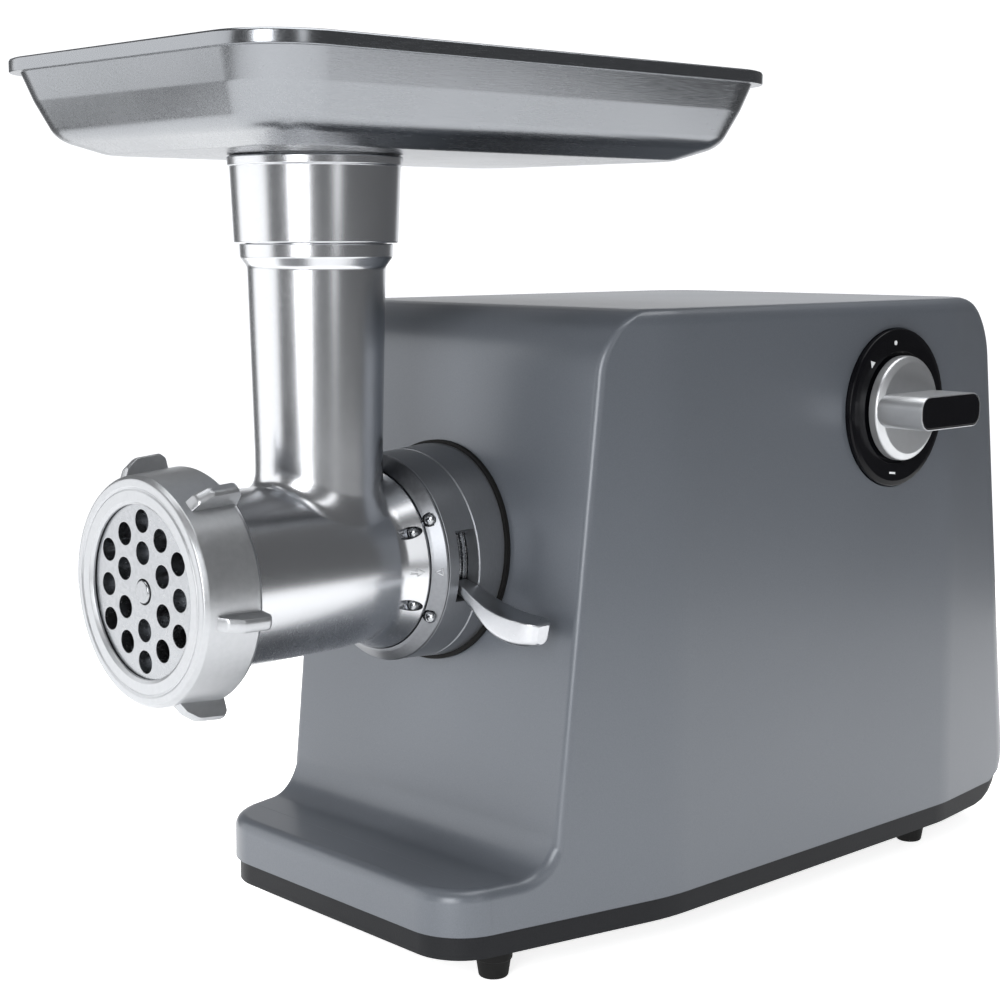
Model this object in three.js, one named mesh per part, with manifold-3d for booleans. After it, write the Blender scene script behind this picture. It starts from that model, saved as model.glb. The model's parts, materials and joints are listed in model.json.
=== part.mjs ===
// Electric meat grinder: motor housing, reduction gearbox, removable grinding head and hopper tray.
// Millimetres, +Z up. While modelling, x = 0 is the symmetry plane, y = 0 is the feed tube's axis
// and z = 0 is the underside of the base. The whole group is shifted at the end so that the origin
// is the centre of its footprint, on the surface that the feet stand on.
import * as THREE from "three";
import { mergeVertices } from "three/addons/utils/BufferGeometryUtils.js";
import Module from "manifold-3d";

const wasm = await Module();
wasm.setup();

// ---------- driving dimensions ----------
const GAP = 0.3; // clearance between touching pieces

// housing and base
const TOP_Z = 221; // top of the housing
const FRONT_Y = 0.5; // front edge of the low shelf
const FRONT_HALF = 66.5; // half width at the front edge, before its corners are rounded
const FRONT_CORNER_R = 22;
const CREASE_Y = 92; // where the widening front facet meets the long side
const REAR_CREASE_Y = 262; // where the long side meets the closing rear facet
const REAR_CREASE_HALF = 89.4;
const REAR_HALF = 81.5;
const SIDE_SPLAY = Math.tan(THREE.MathUtils.degToRad(12.4)); // front facet opens out this much
const REAR_TOP_Y = 306; // rear plane at the top
const REAR_LEAN = 0.1125; // the rear plane comes forward this much per millimetre of height
const WALL_FOOT_Y = 40.2; // front wall carried down to z = 0
const WALL_LEAN = 0.107; // front wall leans back this much per millimetre of height
const DRAFT = 0.013; // side walls close in this much per millimetre of height
const WALL = 2.5; // housing and base wall
const SHELF_Z = 25;
const SHELF_EDGE_R = 4.5;
const COVE_R = 15; // concave fillet between shelf and front wall
const SEAM_Z = 8.4; // seam between housing and base
const BASE_INSET = 1.7; // the base stands back from the housing
const FOOT_H = 12;
const FOOT_R = 7.2;
const FRONT_FOOT = { y: 29, inboard: 14.3 };
const REAR_FOOT = { y: 264, inboard: 18.9 };

// grinding head
const AXIS_Z = 130.4; // auger axis
const FACE_Y = -75.5; // front face of the ring nut
const PLATE_R = 31; // number 8 grinding plate; it sets the barrel, ring nut and coupling
const RING_R = PLATE_R + 7.5;
const RING_LENGTH = 21.5;
const RING_LIP = 1.8;
const LUG_R = RING_R + 7;
const LUG_T = 4.2;
const PLATE_T = 6;
const PLATE_PROUD = 2.6; // how far the plate stands out of the barrel's end
const PLATE_HOLE_R = 3.9;
const KNIFE_T = 5;
const BORE_R = PLATE_R - 4.5;
const BARREL_R = BORE_R + 4;
const THREAD_R = PLATE_R + 1.8; // root of the barrel's thread
const NUT_BORE_R = THREAD_R + 2.4; // root of the ring nut's thread
const TUBE_R = 22.4; // feed tube outside, where it leaves the barrel
const TUBE_TOP_R = TUBE_R + 1.5;
const TUBE_BORE_R = TUBE_R - 2.9;
const FLARE_END_Y = TUBE_R + 0.1; // the flange starts just behind the tube
const FLARE_Y = FLARE_END_Y - 6; // the barrel starts to flare here
const PIN_R = 4; // auger's front pin

// coupling
const COLLAR_BORE_R = BARREL_R + 2.5;
const COLLAR_R = COLLAR_BORE_R + 4.8;
const COLLAR_FOOT_R = COLLAR_R + 1.8; // where it meets the gasket
const COLLAR_Y = FLARE_END_Y + 5; // outer edge of the front ring
const COLLAR_SCREW_R = COLLAR_BORE_R + 2.3; // radius of the collar screws' circle
const COLLAR_SCREW_ANGLE = 29.5;
const SLOT = { y0: COLLAR_Y + 4.5, y1: COLLAR_Y + 13.2, from: -19, to: 13 }; // lever slot, degrees from +X
const LEVER_ANGLE = -13.5;
const LEVER_REACH = COLLAR_BORE_R + 42;
const GASKET = { r: COLLAR_R + 2.8, t: 1.5 };
const FLANGE_R = COLLAR_BORE_R - GAP;
const SPIGOT_R = FLANGE_R - 3.2;
const SPIGOT_END_Y = SLOT.y1 + 5.3;

// hopper tray
const TRAY_HALF = 81;
const TRAY_FRONT = 81; // neck axis to front rim
const TRAY_REAR = 158; // neck axis to rear rim
const TRAY_Z = 305.5;
const TRAY_DEPTH = 32;
const TRAY_CORNER_R = 25;
const SHEET = 1.2;
const NECK_R = TUBE_TOP_R + 0.8; // inside of the sleeve and the pan's hole
const SLEEVE_R = NECK_R + 4.8;
const TUBE_TOP_Z = TRAY_Z - TRAY_DEPTH - 11.5;
const TUBE_SHOULDER_Z = TUBE_TOP_Z - 18.6; // the sleeve stands on it

// rotary switch
const DIAL_R = 31.3;
const DIAL = { y: 221.5, z: TOP_Z - DIAL_R - 11, r: DIAL_R, sunk: 1.2, proud: 2.1 };
const KNOB = { r: DIAL_R - 10.6, disc: 5.5, length: 40.4, height: 13.5, reach: 24.5, corner: 5 };

// gear train: each stage is a wheel and the pinion that drives it
const OUTPUT = { x: 0, z: AXIS_Z, module: 2, teeth: 48, y0: 70, y1: 82 };
const STAGE_2 = { pinion: 12, module: 1.5, teeth: 48, y0: 86, y1: 95, angle: -90 };
const STAGE_1 = { pinion: 12, module: 1.25, teeth: 48, y0: 99, y1: 106, angle: 150 };
const MOTOR = { pinion: 10, angle: 20, r: 42, rotor: 25, core: 40 };
const CASE = { y0: 65, y1: 109, wall: 2.5, margin: 4 };
const COVER_T = 3;
const AXLE_R = 3;
const SPINDLE_R = 8;

// ---------- materials ----------
const finish = (color, roughness, metalness) =>
  new THREE.MeshStandardMaterial({ color, roughness, metalness });
const paint = finish(0x6f7880, 0.45, 0.35);
const charcoal = finish(0x26282c, 0.6, 0);
const rubber = finish(0x141414, 0.85, 0);
const aluminium = finish(0xc4c7ca, 0.25, 1);
const darkMetal = finish(0x5a5e63, 0.4, 0.9);
const stainless = finish(0xd3d6d9, 0.18, 1);
const steel = finish(0x9c9ea0, 0.3, 1);
const nylon = finish(0xe6e2d6, 0.5, 0);
const brass = finish(0xb08a4a, 0.4, 1);
const black = finish(0x101113, 0.25, 0);
const silver = finish(0xa9adb1, 0.35, 0.6);

// ---------- mesh helpers ----------
// One closed mesh with shared vertices, no collapsed triangles, faces pointing out.
function tidy(geometry) {
  const bare = new THREE.BufferGeometry();
  bare.setAttribute("position", geometry.getAttribute("position"));
  if (geometry.index) bare.setIndex(geometry.index);
  const merged = mergeVertices(bare, 1e-4);
  const source = merged.index.array;
  const place = merged.getAttribute("position");
  const [a, b, c] = [new THREE.Vector3(), new THREE.Vector3(), new THREE.Vector3()];
  const kept = [];
  let volume = 0;
  for (let i = 0; i < source.length; i += 3) {
    const [u, v, w] = [source[i], source[i + 1], source[i + 2]];
    if (u === v || v === w || u === w) continue;
    kept.push(u, v, w);
    a.fromBufferAttribute(place, u);
    b.fromBufferAttribute(place, v);
    c.fromBufferAttribute(place, w);
    volume += a.dot(b.cross(c));
  }
  if (volume < 0) kept.reverse();
  merged.setIndex(kept);
  return merged;
}

function toSolid(piece) {
  if (piece instanceof wasm.Manifold) return piece;
  const closed = tidy(piece);
  return new wasm.Manifold(new wasm.Mesh({
    numProp: 3,
    vertProperties: new Float32Array(closed.getAttribute("position").array),
    triVerts: new Uint32Array(closed.index.array),
  }));
}

function toGeometry(solid) {
  const mesh = solid.getMesh();
  const geometry = new THREE.BufferGeometry();
  geometry.setAttribute("position", new THREE.BufferAttribute(new Float32Array(mesh.vertProperties), 3));
  geometry.setIndex(Array.from(mesh.triVerts));
  return geometry;
}

const join = (...pieces) => pieces.map(toSolid).reduce((sum, next) => sum.add(next));
const cut = (base, ...tools) =>
  tools.map(toSolid).reduce((rest, tool) => rest.subtract(tool), toSolid(base));
const common = (a, b) => toSolid(a).intersect(toSolid(b));

const box = (x0, x1, y0, y1, z0, z1) =>
  new THREE.BoxGeometry(x1 - x0, y1 - y0, z1 - z0).translate((x0 + x1) / 2, (y0 + y1) / 2, (z0 + z1) / 2);

// Turned pieces, from [radius, station] pairs. The profile closes on itself.
function turn(pairs, sides = 32) {
  const points = [...pairs, pairs[0]].map(([r, station]) => new THREE.Vector2(r, station));
  return new THREE.LatheGeometry(points, sides);
}
const turnY = (pairs, sides, x = 0, z = AXIS_Z) => turn(pairs, sides).translate(x, 0, z);
const turnZ = (pairs, sides, x = 0, y = 0) => turn(pairs, sides).rotateX(Math.PI / 2).translate(x, y, 0);
const turnX = (pairs, sides, y, z) => turn(pairs, sides).rotateZ(-Math.PI / 2).translate(0, y, z);
const rod = (r, from, to) => [[0, from], [r, from], [r, to], [0, to]];
const pipe = (r, hole, from, to) => [[hole, from], [r, from], [r, to], [hole, to]];

// Flat outlines pushed along one axis. Points are [x, z] along Y, [y, z] along X and [x, y] along Z.
function slab(points, depth, holes = []) {
  const shape = new THREE.Shape(points.map(([u, v]) => new THREE.Vector2(u, v)));
  holes.forEach((hole) => shape.holes.push(new THREE.Path(hole.map(([u, v]) => new THREE.Vector2(u, v)))));
  return new THREE.ExtrudeGeometry(shape, { depth, bevelEnabled: false });
}
const basis = (x, y, z) => new THREE.Matrix4().makeBasis(
  new THREE.Vector3(...x), new THREE.Vector3(...y), new THREE.Vector3(...z));
const TO_Y = basis([1, 0, 0], [0, 0, 1], [0, 1, 0]);
const TO_X = basis([0, 1, 0], [0, 0, 1], [1, 0, 0]);
const slabY = (points, y0, y1, holes) =>
  tidy(slab(points, y1 - y0, holes).applyMatrix4(TO_Y).translate(0, y0, 0));
const slabX = (points, x0, x1, holes) =>
  tidy(slab(points, x1 - x0, holes).applyMatrix4(TO_X).translate(x0, 0, 0));

// Skin over a stack of level outlines that all have the same number of points.
function loft(rings) {
  const count = rings[0].length;
  const last = (rings.length - 1) * count;
  const index = [];
  for (let level = 0; level < rings.length - 1; level++) {
    for (let i = 0; i < count; i++) {
      const [a, b] = [level * count + i, level * count + ((i + 1) % count)];
      index.push(a, b, b + count, a, b + count, a + count);
    }
  }
  const flat = rings[0].map(([x, y]) => new THREE.Vector2(x, y));
  for (const [u, v, w] of THREE.ShapeUtils.triangulateShape(flat, [])) {
    index.push(w, v, u, last + u, last + v, last + w);
  }
  const geometry = new THREE.BufferGeometry();
  geometry.setAttribute("position", new THREE.Float32BufferAttribute(rings.flat(2), 3));
  geometry.setIndex(index);
  return tidy(geometry);
}

// Polygon with each corner { x, y, r, steps } rounded by an arc.
function rounded(corners) {
  return corners.flatMap((corner, i) => {
    const here = new THREE.Vector2(corner.x, corner.y);
    const before = corners[(i + corners.length - 1) % corners.length];
    const after = corners[(i + 1) % corners.length];
    const u = new THREE.Vector2(before.x, before.y).sub(here);
    const v = new THREE.Vector2(after.x, after.y).sub(here);
    const room = 0.45 * Math.min(u.length(), v.length());
    u.normalize();
    v.normalize();
    const half = Math.acos(THREE.MathUtils.clamp(u.dot(v), -1, 1)) / 2;
    const reach = Math.min(corner.r / Math.tan(half), room);
    const r = reach * Math.tan(half);
    const centre = u.clone().add(v).normalize().multiplyScalar(r / Math.sin(half)).add(here);
    const from = here.clone().addScaledVector(u, reach).sub(centre);
    const turnBy = (2 * half - Math.PI) * Math.sign(u.cross(v));
    return Array.from({ length: corner.steps + 1 }, (_, k) => {
      const arm = from.clone().rotateAround(new THREE.Vector2(), (turnBy * k) / corner.steps);
      return [centre.x + arm.x, centre.y + arm.y];
    });
  });
}

// The corners of a counter-clockwise polygon with each edge moved in by its own distance.
function inset(corners, distances) {
  const edges = corners.map((corner, i) => {
    const next = corners[(i + 1) % corners.length];
    const along = new THREE.Vector2(next.x - corner.x, next.y - corner.y).normalize();
    const move = distances[i];
    return { x: corner.x - along.y * move, y: corner.y + along.x * move, along, move };
  });
  return corners.map((corner, i) => {
    const [p, q] = [edges[(i + edges.length - 1) % edges.length], edges[i]];
    const cross = p.along.x * q.along.y - p.along.y * q.along.x;
    const t = ((q.x - p.x) * q.along.y - (q.y - p.y) * q.along.x) / cross;
    const r = Math.max(corner.r - Math.min(p.move, q.move), 0.6);
    return { ...corner, x: p.x + p.along.x * t, y: p.y + p.along.y * t, r };
  });
}

const circle = (r, sides, x = 0, z = 0, start = 0) => Array.from({ length: sides }, (_, i) => {
  const a = start + (2 * Math.PI * i) / sides;
  return [x + r * Math.cos(a), z + r * Math.sin(a)];
});

// Smallest convex outline round a set of points.
function hull(points) {
  const sorted = [...points].sort((p, q) => p[0] - q[0] || p[1] - q[1]);
  const side = (list) => list.reduce((kept, p) => {
    while (kept.length > 1) {
      const [a, b] = kept.slice(-2);
      if ((b[0] - a[0]) * (p[1] - a[1]) - (b[1] - a[1]) * (p[0] - a[0]) > 0.01) break;
      kept.pop();
    }
    return [...kept, p];
  }, []);
  return [...side(sorted).slice(0, -1), ...side([...sorted].reverse()).slice(0, -1)];
}

const root = new THREE.Group();
function add(name, piece, material) {
  const geometry = piece instanceof wasm.Manifold ? toGeometry(piece) : tidy(piece);
  const mesh = new THREE.Mesh(geometry, material);
  mesh.name = name;
  root.add(mesh);
  return mesh;
}
const polar = (r, degrees) => {
  const a = THREE.MathUtils.degToRad(degrees);
  return [r * Math.cos(a), r * Math.sin(a)];
};
// A point this far from the auger axis, in the plane across it.
const aroundAxis = (r, degrees) => {
  const [x, z] = polar(r, degrees);
  return [x, AXIS_Z + z];
};

// ---------- housing and base ----------
const wallY = (z) => WALL_FOOT_Y + WALL_LEAN * z;
const rearY = (z) => REAR_TOP_Y + REAR_LEAN * (TOP_Z - z);
const facetHalf = (y) => FRONT_HALF + (y - FRONT_Y) * SIDE_SPLAY;
// Half width of the side at y, at the foot of the wall.
const halfAt = (y) => (y < CREASE_Y ? facetHalf(y) : THREE.MathUtils.mapLinear(
  y, CREASE_Y, REAR_CREASE_Y, facetHalf(CREASE_Y), REAR_CREASE_HALF));
const mirrored = (right) => [...right, ...[...right].reverse().map((c) => ({ ...c, x: -c.x }))];
// How far a rounded edge of radius r has drawn in at a distance h below the top.
const drawIn = (r, h) => (h >= r ? 0 : r - Math.sqrt(r * r - (r - h) ** 2));

// Rounding of the block's edges: over the front, along the sides, over the rear and at the heel.
const EDGE = { front: 22, side: 6, rear: 25, heel: 22 };
// Rounding of the block's upright edges.
const CORNER = { wall: 3.5, crease: 90, rearCrease: 60, rear: 20 };

// The tall block, drawn in all over by skin.
function block(skin, bottom) {
  const top = TOP_Z - skin;
  const [frontR, sideR, rearR, heelR] = [EDGE.front - skin, EDGE.side, EDGE.rear - skin, EDGE.heel - skin];
  const heights = [0, 3, 9, heelR].map((h) => bottom + h);
  const lid = [rearR, 15, 8, 4, 1.2, 0].map((h) => top - h);
  return loft([...heights, ...lid].map((z) => {
    const shrink = DRAFT * z;
    const corners = mirrored([
      { x: facetHalf(wallY(z)) - shrink, y: wallY(z), r: CORNER.wall, steps: 2 },
      { x: facetHalf(CREASE_Y) - shrink, y: CREASE_Y, r: CORNER.crease, steps: 1 },
      { x: REAR_CREASE_HALF - shrink, y: REAR_CREASE_Y, r: CORNER.rearCrease, steps: 1 },
      { x: REAR_HALF - shrink, y: rearY(z), r: CORNER.rear, steps: 4 },
    ]);
    const side = skin + drawIn(sideR, top - z);
    const rear = skin + drawIn(rearR, top - z) + drawIn(heelR, z - bottom);
    const front = skin + drawIn(frontR, top - z);
    return rounded(inset(corners, [side, side, side, rear, side, side, side, front]))
      .map(([x, y]) => [x, y, z]);
  }));
}

// The low shelf in front, reaching back into the block as far as y = reach.
function shelfPlan(z, skin, reach) {
  const shrink = DRAFT * z;
  const corners = mirrored([
    { x: FRONT_HALF - shrink, y: FRONT_Y, r: FRONT_CORNER_R, steps: 5 },
    { x: facetHalf(reach) - shrink, y: reach, r: 1, steps: 1 },
  ]);
  return rounded(inset(corners, [skin, 0, skin, skin])).map(([x, y]) => [x, y, z]);
}
function shelf(skin, bottom, reach) {
  const top = SHELF_Z - skin;
  const r = SHELF_EDGE_R;
  return loft([bottom, top - r, top - 0.6 * r, top - 0.25 * r, top - 0.06 * r, top]
    .map((z) => shelfPlan(z, skin + drawIn(r, top - z), reach)));
}

const coveCentre = [wallY(SHELF_Z + COVE_R) - COVE_R * Math.hypot(1, WALL_LEAN), SHELF_Z + COVE_R];
const coveArc = Array.from({ length: 7 }, (_, k) => {
  const [dy, dz] = polar(COVE_R, -90 + (k * (90 - THREE.MathUtils.radToDeg(Math.atan(WALL_LEAN)))) / 6);
  return [coveCentre[0] + dy, coveCentre[1] + dz];
});
const coveProfile = [[coveCentre[0], SHELF_Z - 3], [wallY(0) + COVE_R, SHELF_Z - 3],
  [wallY(0) + COVE_R, SHELF_Z + COVE_R], ...coveArc.reverse()];
const covePrism = loft([SHELF_Z - 4, SHELF_Z + COVE_R + 4].map((z) => shelfPlan(z, 0, wallY(0) + 22)));
const cove = common(slabX(coveProfile, -2 * FRONT_HALF, 2 * FRONT_HALF), covePrism);

// The seam runs level along the sides and climbs to the top of the rounded heel at the back.
const CLEAR = 150; // cutting bodies reach this far past the housing's sides
const HEEL_TOP_Z = 26;
function belowSeam(lift) {
  const heel = rearY(SEAM_Z);
  return slabX([[-CLEAR, -5], [-CLEAR, SEAM_Z + lift], [heel - 26, SEAM_Z + lift], [heel - 16, 12 + lift],
    [heel - 8, HEEL_TOP_Z + lift], [heel + CLEAR, HEEL_TOP_Z + lift], [heel + CLEAR, -5]], -CLEAR, CLEAR);
}

const shelfReach = wallY(0) + 20; // the shelf runs on inside the block, so the two are one body
const outerBody = join(block(0, 0), shelf(0, 0, shelfReach), cove);
const innerBody = join(block(WALL, WALL), shelf(WALL, WALL, shelfReach + 8));

const collarScrews = [1, -1].flatMap((side) => [1, -1].map((up) => {
  const [x, z] = aroundAxis(COLLAR_SCREW_R, up * COLLAR_SCREW_ANGLE);
  return [side * x, z];
}));
const COLLAR_SHANK_R = 1.6;
const shankHoles = (from, to) =>
  collarScrews.map(([x, z]) => turnY(rod(COLLAR_SHANK_R + GAP, from, to), 10, x, z));

const POST = { r: 4.5, from: 9, to: 48, bore: 1.9, inboard: 11, front: 75, rear: 250 };
const basePosts = [POST.front, POST.rear].flatMap((y) =>
  [-1, 1].map((side) => [side * (halfAt(y) - POST.inboard), y]));
const posts = basePosts.map(([x, y]) => {
  const out = Math.sign(x) * (halfAt(y) - WALL / 2);
  const web = box(Math.min(x, out), Math.max(x, out), y - 1.5, y + 1.5, POST.from, POST.to);
  return cut(join(turnZ(rod(POST.r, POST.from, POST.to), 10, x, y), web),
    turnZ(rod(POST.bore, POST.from - 1, 26), 10, x, y));
});

const sideSkin = halfAt(DIAL.y) - DRAFT * DIAL.z;
const [dialBack, dialFront] = [sideSkin - DIAL.sunk, sideSkin + DIAL.proud];
const GLAND = { x: -48, z: 48, r: 6 };
const glandY = rearY(GLAND.z);
const housing = posts.reduce((sum, post) => sum.add(post), cut(outerBody, innerBody, belowSeam(GAP),
  turnY(rod(COLLAR_BORE_R - 2, 30, 80), 24), ...shankHoles(30, 80),
  turnX(rod(DIAL.r + GAP, dialBack - GAP, CLEAR), 28, DIAL.y, DIAL.z),
  turnX(rod(8, dialBack - 15, CLEAR), 14, DIAL.y, DIAL.z),
  turnY(rod(GLAND.r + GAP, glandY - 20, glandY + 20), 14, GLAND.x, GLAND.z)));
add("main_housing", housing, paint);

const VENT = { pitch: 9, half: 2, from: 150, to: 200 };
const vents = [-3, -2, -1, 0, 1, 2, 3].map((i) =>
  box(VENT.pitch * i - VENT.half, VENT.pitch * i + VENT.half, VENT.from, VENT.to, -1, WALL + 1));
const footX = ({ y, inboard }) => halfAt(y) - inboard;
const feetPlaces = {
  front_left: [-footX(FRONT_FOOT), FRONT_FOOT.y],
  front_right: [footX(FRONT_FOOT), FRONT_FOOT.y],
  rear_left: [-footX(REAR_FOOT), REAR_FOOT.y],
  rear_right: [footX(REAR_FOOT), REAR_FOOT.y],
};
const FOOT_STEM_R = 2.6;
const baseShell = common(join(block(BASE_INSET, 0), shelf(BASE_INSET, 0, shelfReach)), belowSeam(0));
const baseSkin = BASE_INSET + WALL;
const baseHollow = join(block(baseSkin, WALL + 0.5), shelf(baseSkin, WALL + 0.5, shelfReach + 8));
const baseBosses = basePosts.map(([x, y]) => turnZ(rod(POST.r, 1, POST.from - GAP), 10, x, y));
const base = cut(join(cut(baseShell, baseHollow), ...baseBosses), ...vents,
  ...Object.values(feetPlaces).map(([x, y]) => turnZ(rod(FOOT_STEM_R + GAP, -1, 6), 10, x, y)),
  ...basePosts.flatMap(([x, y]) => [
    turnZ(rod(POST.bore, -1, 10), 10, x, y), turnZ(rod(3.4, -1, 2.2), 10, x, y)]));
add("base_tray", base, charcoal);

for (const [place, [x, y]] of Object.entries(feetPlaces)) {
  const profile = [[0, -FOOT_H], [FOOT_R - 2.4, -FOOT_H], [FOOT_R - 1.5, -FOOT_H + 0.8], [FOOT_R, -2],
    [FOOT_R, -GAP], [FOOT_STEM_R, -GAP], [FOOT_STEM_R, 4.2], [0, 4.2]];
  add(`foot_${place}`, turnZ(profile, 12, x, y), rubber);
}
basePosts.forEach(([x, y], i) => {
  const profile = [[0, 0.2], [3.1, 0.2], [3.1, 1.9], [POST.bore - GAP, 1.9], [POST.bore - GAP, 24], [0, 24]];
  add(`base_screw_${i + 1}`, turnZ(profile, 10, x, y), steel);
});

const glandProfile = [[3.6, glandY - 14], [GLAND.r, glandY - 14], [GLAND.r, glandY + 1.4],
  [GLAND.r + 3, glandY + 1.4], [GLAND.r + 1.6, glandY + 4.5], [3.6, glandY + 4.5]];
add("cord_inlet", turnY(glandProfile, 14, GLAND.x, GLAND.z), rubber);

// ---------- coupling on the front wall ----------
// A half space behind the front wall's plane, moved forward by lead.
const behindWall = (lead) => slabX([[wallY(0) - lead, 0], [wallY(TOP_Z) - lead, TOP_Z],
  [CLEAR, TOP_Z], [CLEAR, 0]], -CLEAR, CLEAR);
const gasketRing = turnY(pipe(GASKET.r, COLLAR_BORE_R, 30, 70), 32);
add("coupling_gasket", cut(common(gasketRing, behindWall(GASKET.t + GAP)), behindWall(GAP),
  ...shankHoles(20, 80)), rubber);

const slotCut = slabY([[0, AXIS_Z], ...[0, 1, 2, 3, 4].map((k) =>
  aroundAxis(COLLAR_R + 20, SLOT.from + ((SLOT.to - SLOT.from) * k) / 4))], SLOT.y0, SLOT.y1);
const collarFootY = wallY(AXIS_Z);
const collarProfile = [[COLLAR_BORE_R, COLLAR_Y + GAP], [COLLAR_R, COLLAR_Y + GAP],
  [COLLAR_FOOT_R, collarFootY], [COLLAR_FOOT_R, collarFootY + 12], [COLLAR_BORE_R, collarFootY + 12]];
add("coupling_collar", cut(turnY(collarProfile, 32), behindWall(GASKET.t + 2 * GAP), slotCut,
  ...shankHoles(20, 80)), darkMetal);

const RING_HEAD_Y = COLLAR_Y - 2.3; // where the collar screws' heads sit
const PAN_HEAD = { r: 2, top: 1.5, height: 2.2, edge: 1.2 };
const shankEnd = CASE.y0 + CASE.wall + 1; // they clamp the collar to the gearbox case through the wall
const frontRing = turnY([[COLLAR_BORE_R, FLARE_END_Y + 0.5], [COLLAR_BORE_R + 1.2, FLARE_END_Y + 1.5],
  [COLLAR_R, COLLAR_Y - 0.5], [COLLAR_R, COLLAR_Y], [COLLAR_BORE_R, COLLAR_Y]], 32);
add("coupling_front_ring", cut(frontRing, ...shankHoles(10, COLLAR_Y + 0.5),
  ...collarScrews.map(([x, z]) => turnY(rod(PAN_HEAD.r + 0.2, 10, RING_HEAD_Y), 10, x, z))), aluminium);
collarScrews.forEach(([x, z], i) => {
  const profile = [[0, RING_HEAD_Y - PAN_HEAD.height], [PAN_HEAD.top, RING_HEAD_Y - PAN_HEAD.height],
    [PAN_HEAD.r, RING_HEAD_Y - PAN_HEAD.edge], [PAN_HEAD.r, RING_HEAD_Y - 0.1],
    [COLLAR_SHANK_R, RING_HEAD_Y - 0.1], [COLLAR_SHANK_R, shankEnd], [0, shankEnd]];
  add(`collar_screw_${i + 1}`, turnY(profile, 10, x, z), steel);
});

const LOCK_R = COLLAR_BORE_R - GAP;
const lockRing = turnY(pipe(LOCK_R, SPIGOT_R + 2 * GAP, SLOT.y0 + GAP, SLOT.y1 - GAP), 32);
add("lock_ring", lockRing, steel);
// The lever grows out of the slot, drops away in a curve and ends in a flat paddle.
// [distance out from the slot's bore, drop, half thickness]
const leverLine = [[0, 0, 2.6], [6, -0.2, 2.6], [11, -1.8, 2.8], [19, -4.2, 3.4], [27, -4.6, 4.4],
  [35, -3.4, 4.6], [40, -2.2, 4.2], [LEVER_REACH - COLLAR_BORE_R, -1.9, 2.6]]
  .map(([out, drop, half]) => [COLLAR_BORE_R + out, drop, half]);
const leverEdge = (side) => leverLine.map(([r, drop, half]) => [r, drop + side * half]);
const leverOutline = [...leverEdge(-1), ...leverEdge(1).reverse()].map(([u, v]) => {
  const [c, s] = polar(1, LEVER_ANGLE);
  return [u * c - v * s, AXIS_Z + u * s + v * c];
});
const leverBlank = slabY(leverOutline, SLOT.y0 + 0.6, SLOT.y1 + 4.5);
// Inside the collar's wall the lever is thin enough to pass through the slot.
const leverNeck = turnY(pipe(COLLAR_R + 3.2, 20, SLOT.y1 - 0.5, 60), 32);
add("lock_lever", cut(leverBlank, leverNeck), aluminium);

// ---------- grinding head ----------
const PLATE_FRONT_Y = FACE_Y + RING_LIP + GAP;
const PLATE_REAR_Y = PLATE_FRONT_Y + PLATE_T;
const SEAT_Y = PLATE_REAR_Y + GAP;
const BARREL_END_Y = PLATE_FRONT_Y + PLATE_PROUD;
const KNIFE_Y = PLATE_REAR_Y + GAP;
const AUGER_Y = KNIFE_Y + KNIFE_T + GAP;
const THREAD_END_Y = FACE_Y + RING_LENGTH - 2.5;
const AUGER_END_Y = FLARE_END_Y + 5.5;
const BUSH = { r: 10, y0: AUGER_END_Y + 2 * GAP };

const barrel = turnY([[0, BARREL_END_Y], [THREAD_R, BARREL_END_Y], [THREAD_R, THREAD_END_Y],
  [BARREL_R, THREAD_END_Y + 2.5], [BARREL_R - 0.6, 0], [BARREL_R - 1.9, FLARE_Y], [FLANGE_R, FLARE_END_Y],
  [FLANGE_R, COLLAR_Y - 1], [SPIGOT_R, COLLAR_Y - 1], [SPIGOT_R, SPIGOT_END_Y], [0, SPIGOT_END_Y]], 32);
const shoulderR = TUBE_TOP_R + 2.6;
const tube = turnZ([[0, AXIS_Z], [TUBE_R, AXIS_Z], [TUBE_R, AXIS_Z + 39.6],
  [TUBE_TOP_R, TUBE_SHOULDER_Z - 7.4],
  [shoulderR, TUBE_SHOULDER_Z - 4.4], [shoulderR, TUBE_SHOULDER_Z], [NECK_R - GAP, TUBE_SHOULDER_Z],
  [NECK_R - GAP, TUBE_TOP_Z], [0, TUBE_TOP_Z]], 28);
const KEY = { half: 1.5, high: 1.6 }; // it enters the plate's notch and stops it turning
const key = box(-KEY.half, KEY.half, BARREL_END_Y + 0.3, SEAT_Y + 2,
  AXIS_Z - PLATE_R - 0.8, AXIS_Z - PLATE_R + KEY.high);
const headScrews = [1, -1].map((up) => aroundAxis(FLANGE_R - 2.3, up * 25));
const HEAD_SCREW = { r: 1.8, y0: FLARE_END_Y - 4.4, y1: FLARE_END_Y + 0.3 };
const head = join(cut(join(barrel, tube),
  turnY(rod(PLATE_R + GAP, FACE_Y - 5, SEAT_Y), 32),
  turnY(rod(BORE_R, SEAT_Y - 1, AUGER_END_Y + GAP), 24),
  turnY(rod(BUSH.r + GAP, 0, 60), 16),
  turnZ(rod(TUBE_BORE_R, AXIS_Z, TUBE_TOP_Z + 5), 24),
  ...headScrews.map(([x, z]) => turnY(rod(HEAD_SCREW.r + 0.2, FLARE_Y - 2, HEAD_SCREW.y1), 10, x, z))), key);
add("head_casting", head, aluminium);
headScrews.forEach(([x, z], i) => {
  const y1 = HEAD_SCREW.y1 - 0.2;
  const { r, y0 } = HEAD_SCREW;
  const profile = [[0, y0], [r - 0.5, y0], [r, y0 + 0.8], [r, y1], [0, y1]];
  add(`head_screw_${i + 1}`, turnY(profile, 10, x, z), steel);
});
const SHAFT = { r: 6, hex: 5, end: SPIGOT_END_Y + 11 };
add("auger_bush", turnY(pipe(BUSH.r, SHAFT.r + GAP, BUSH.y0, SPIGOT_END_Y), 16), nylon);

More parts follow.
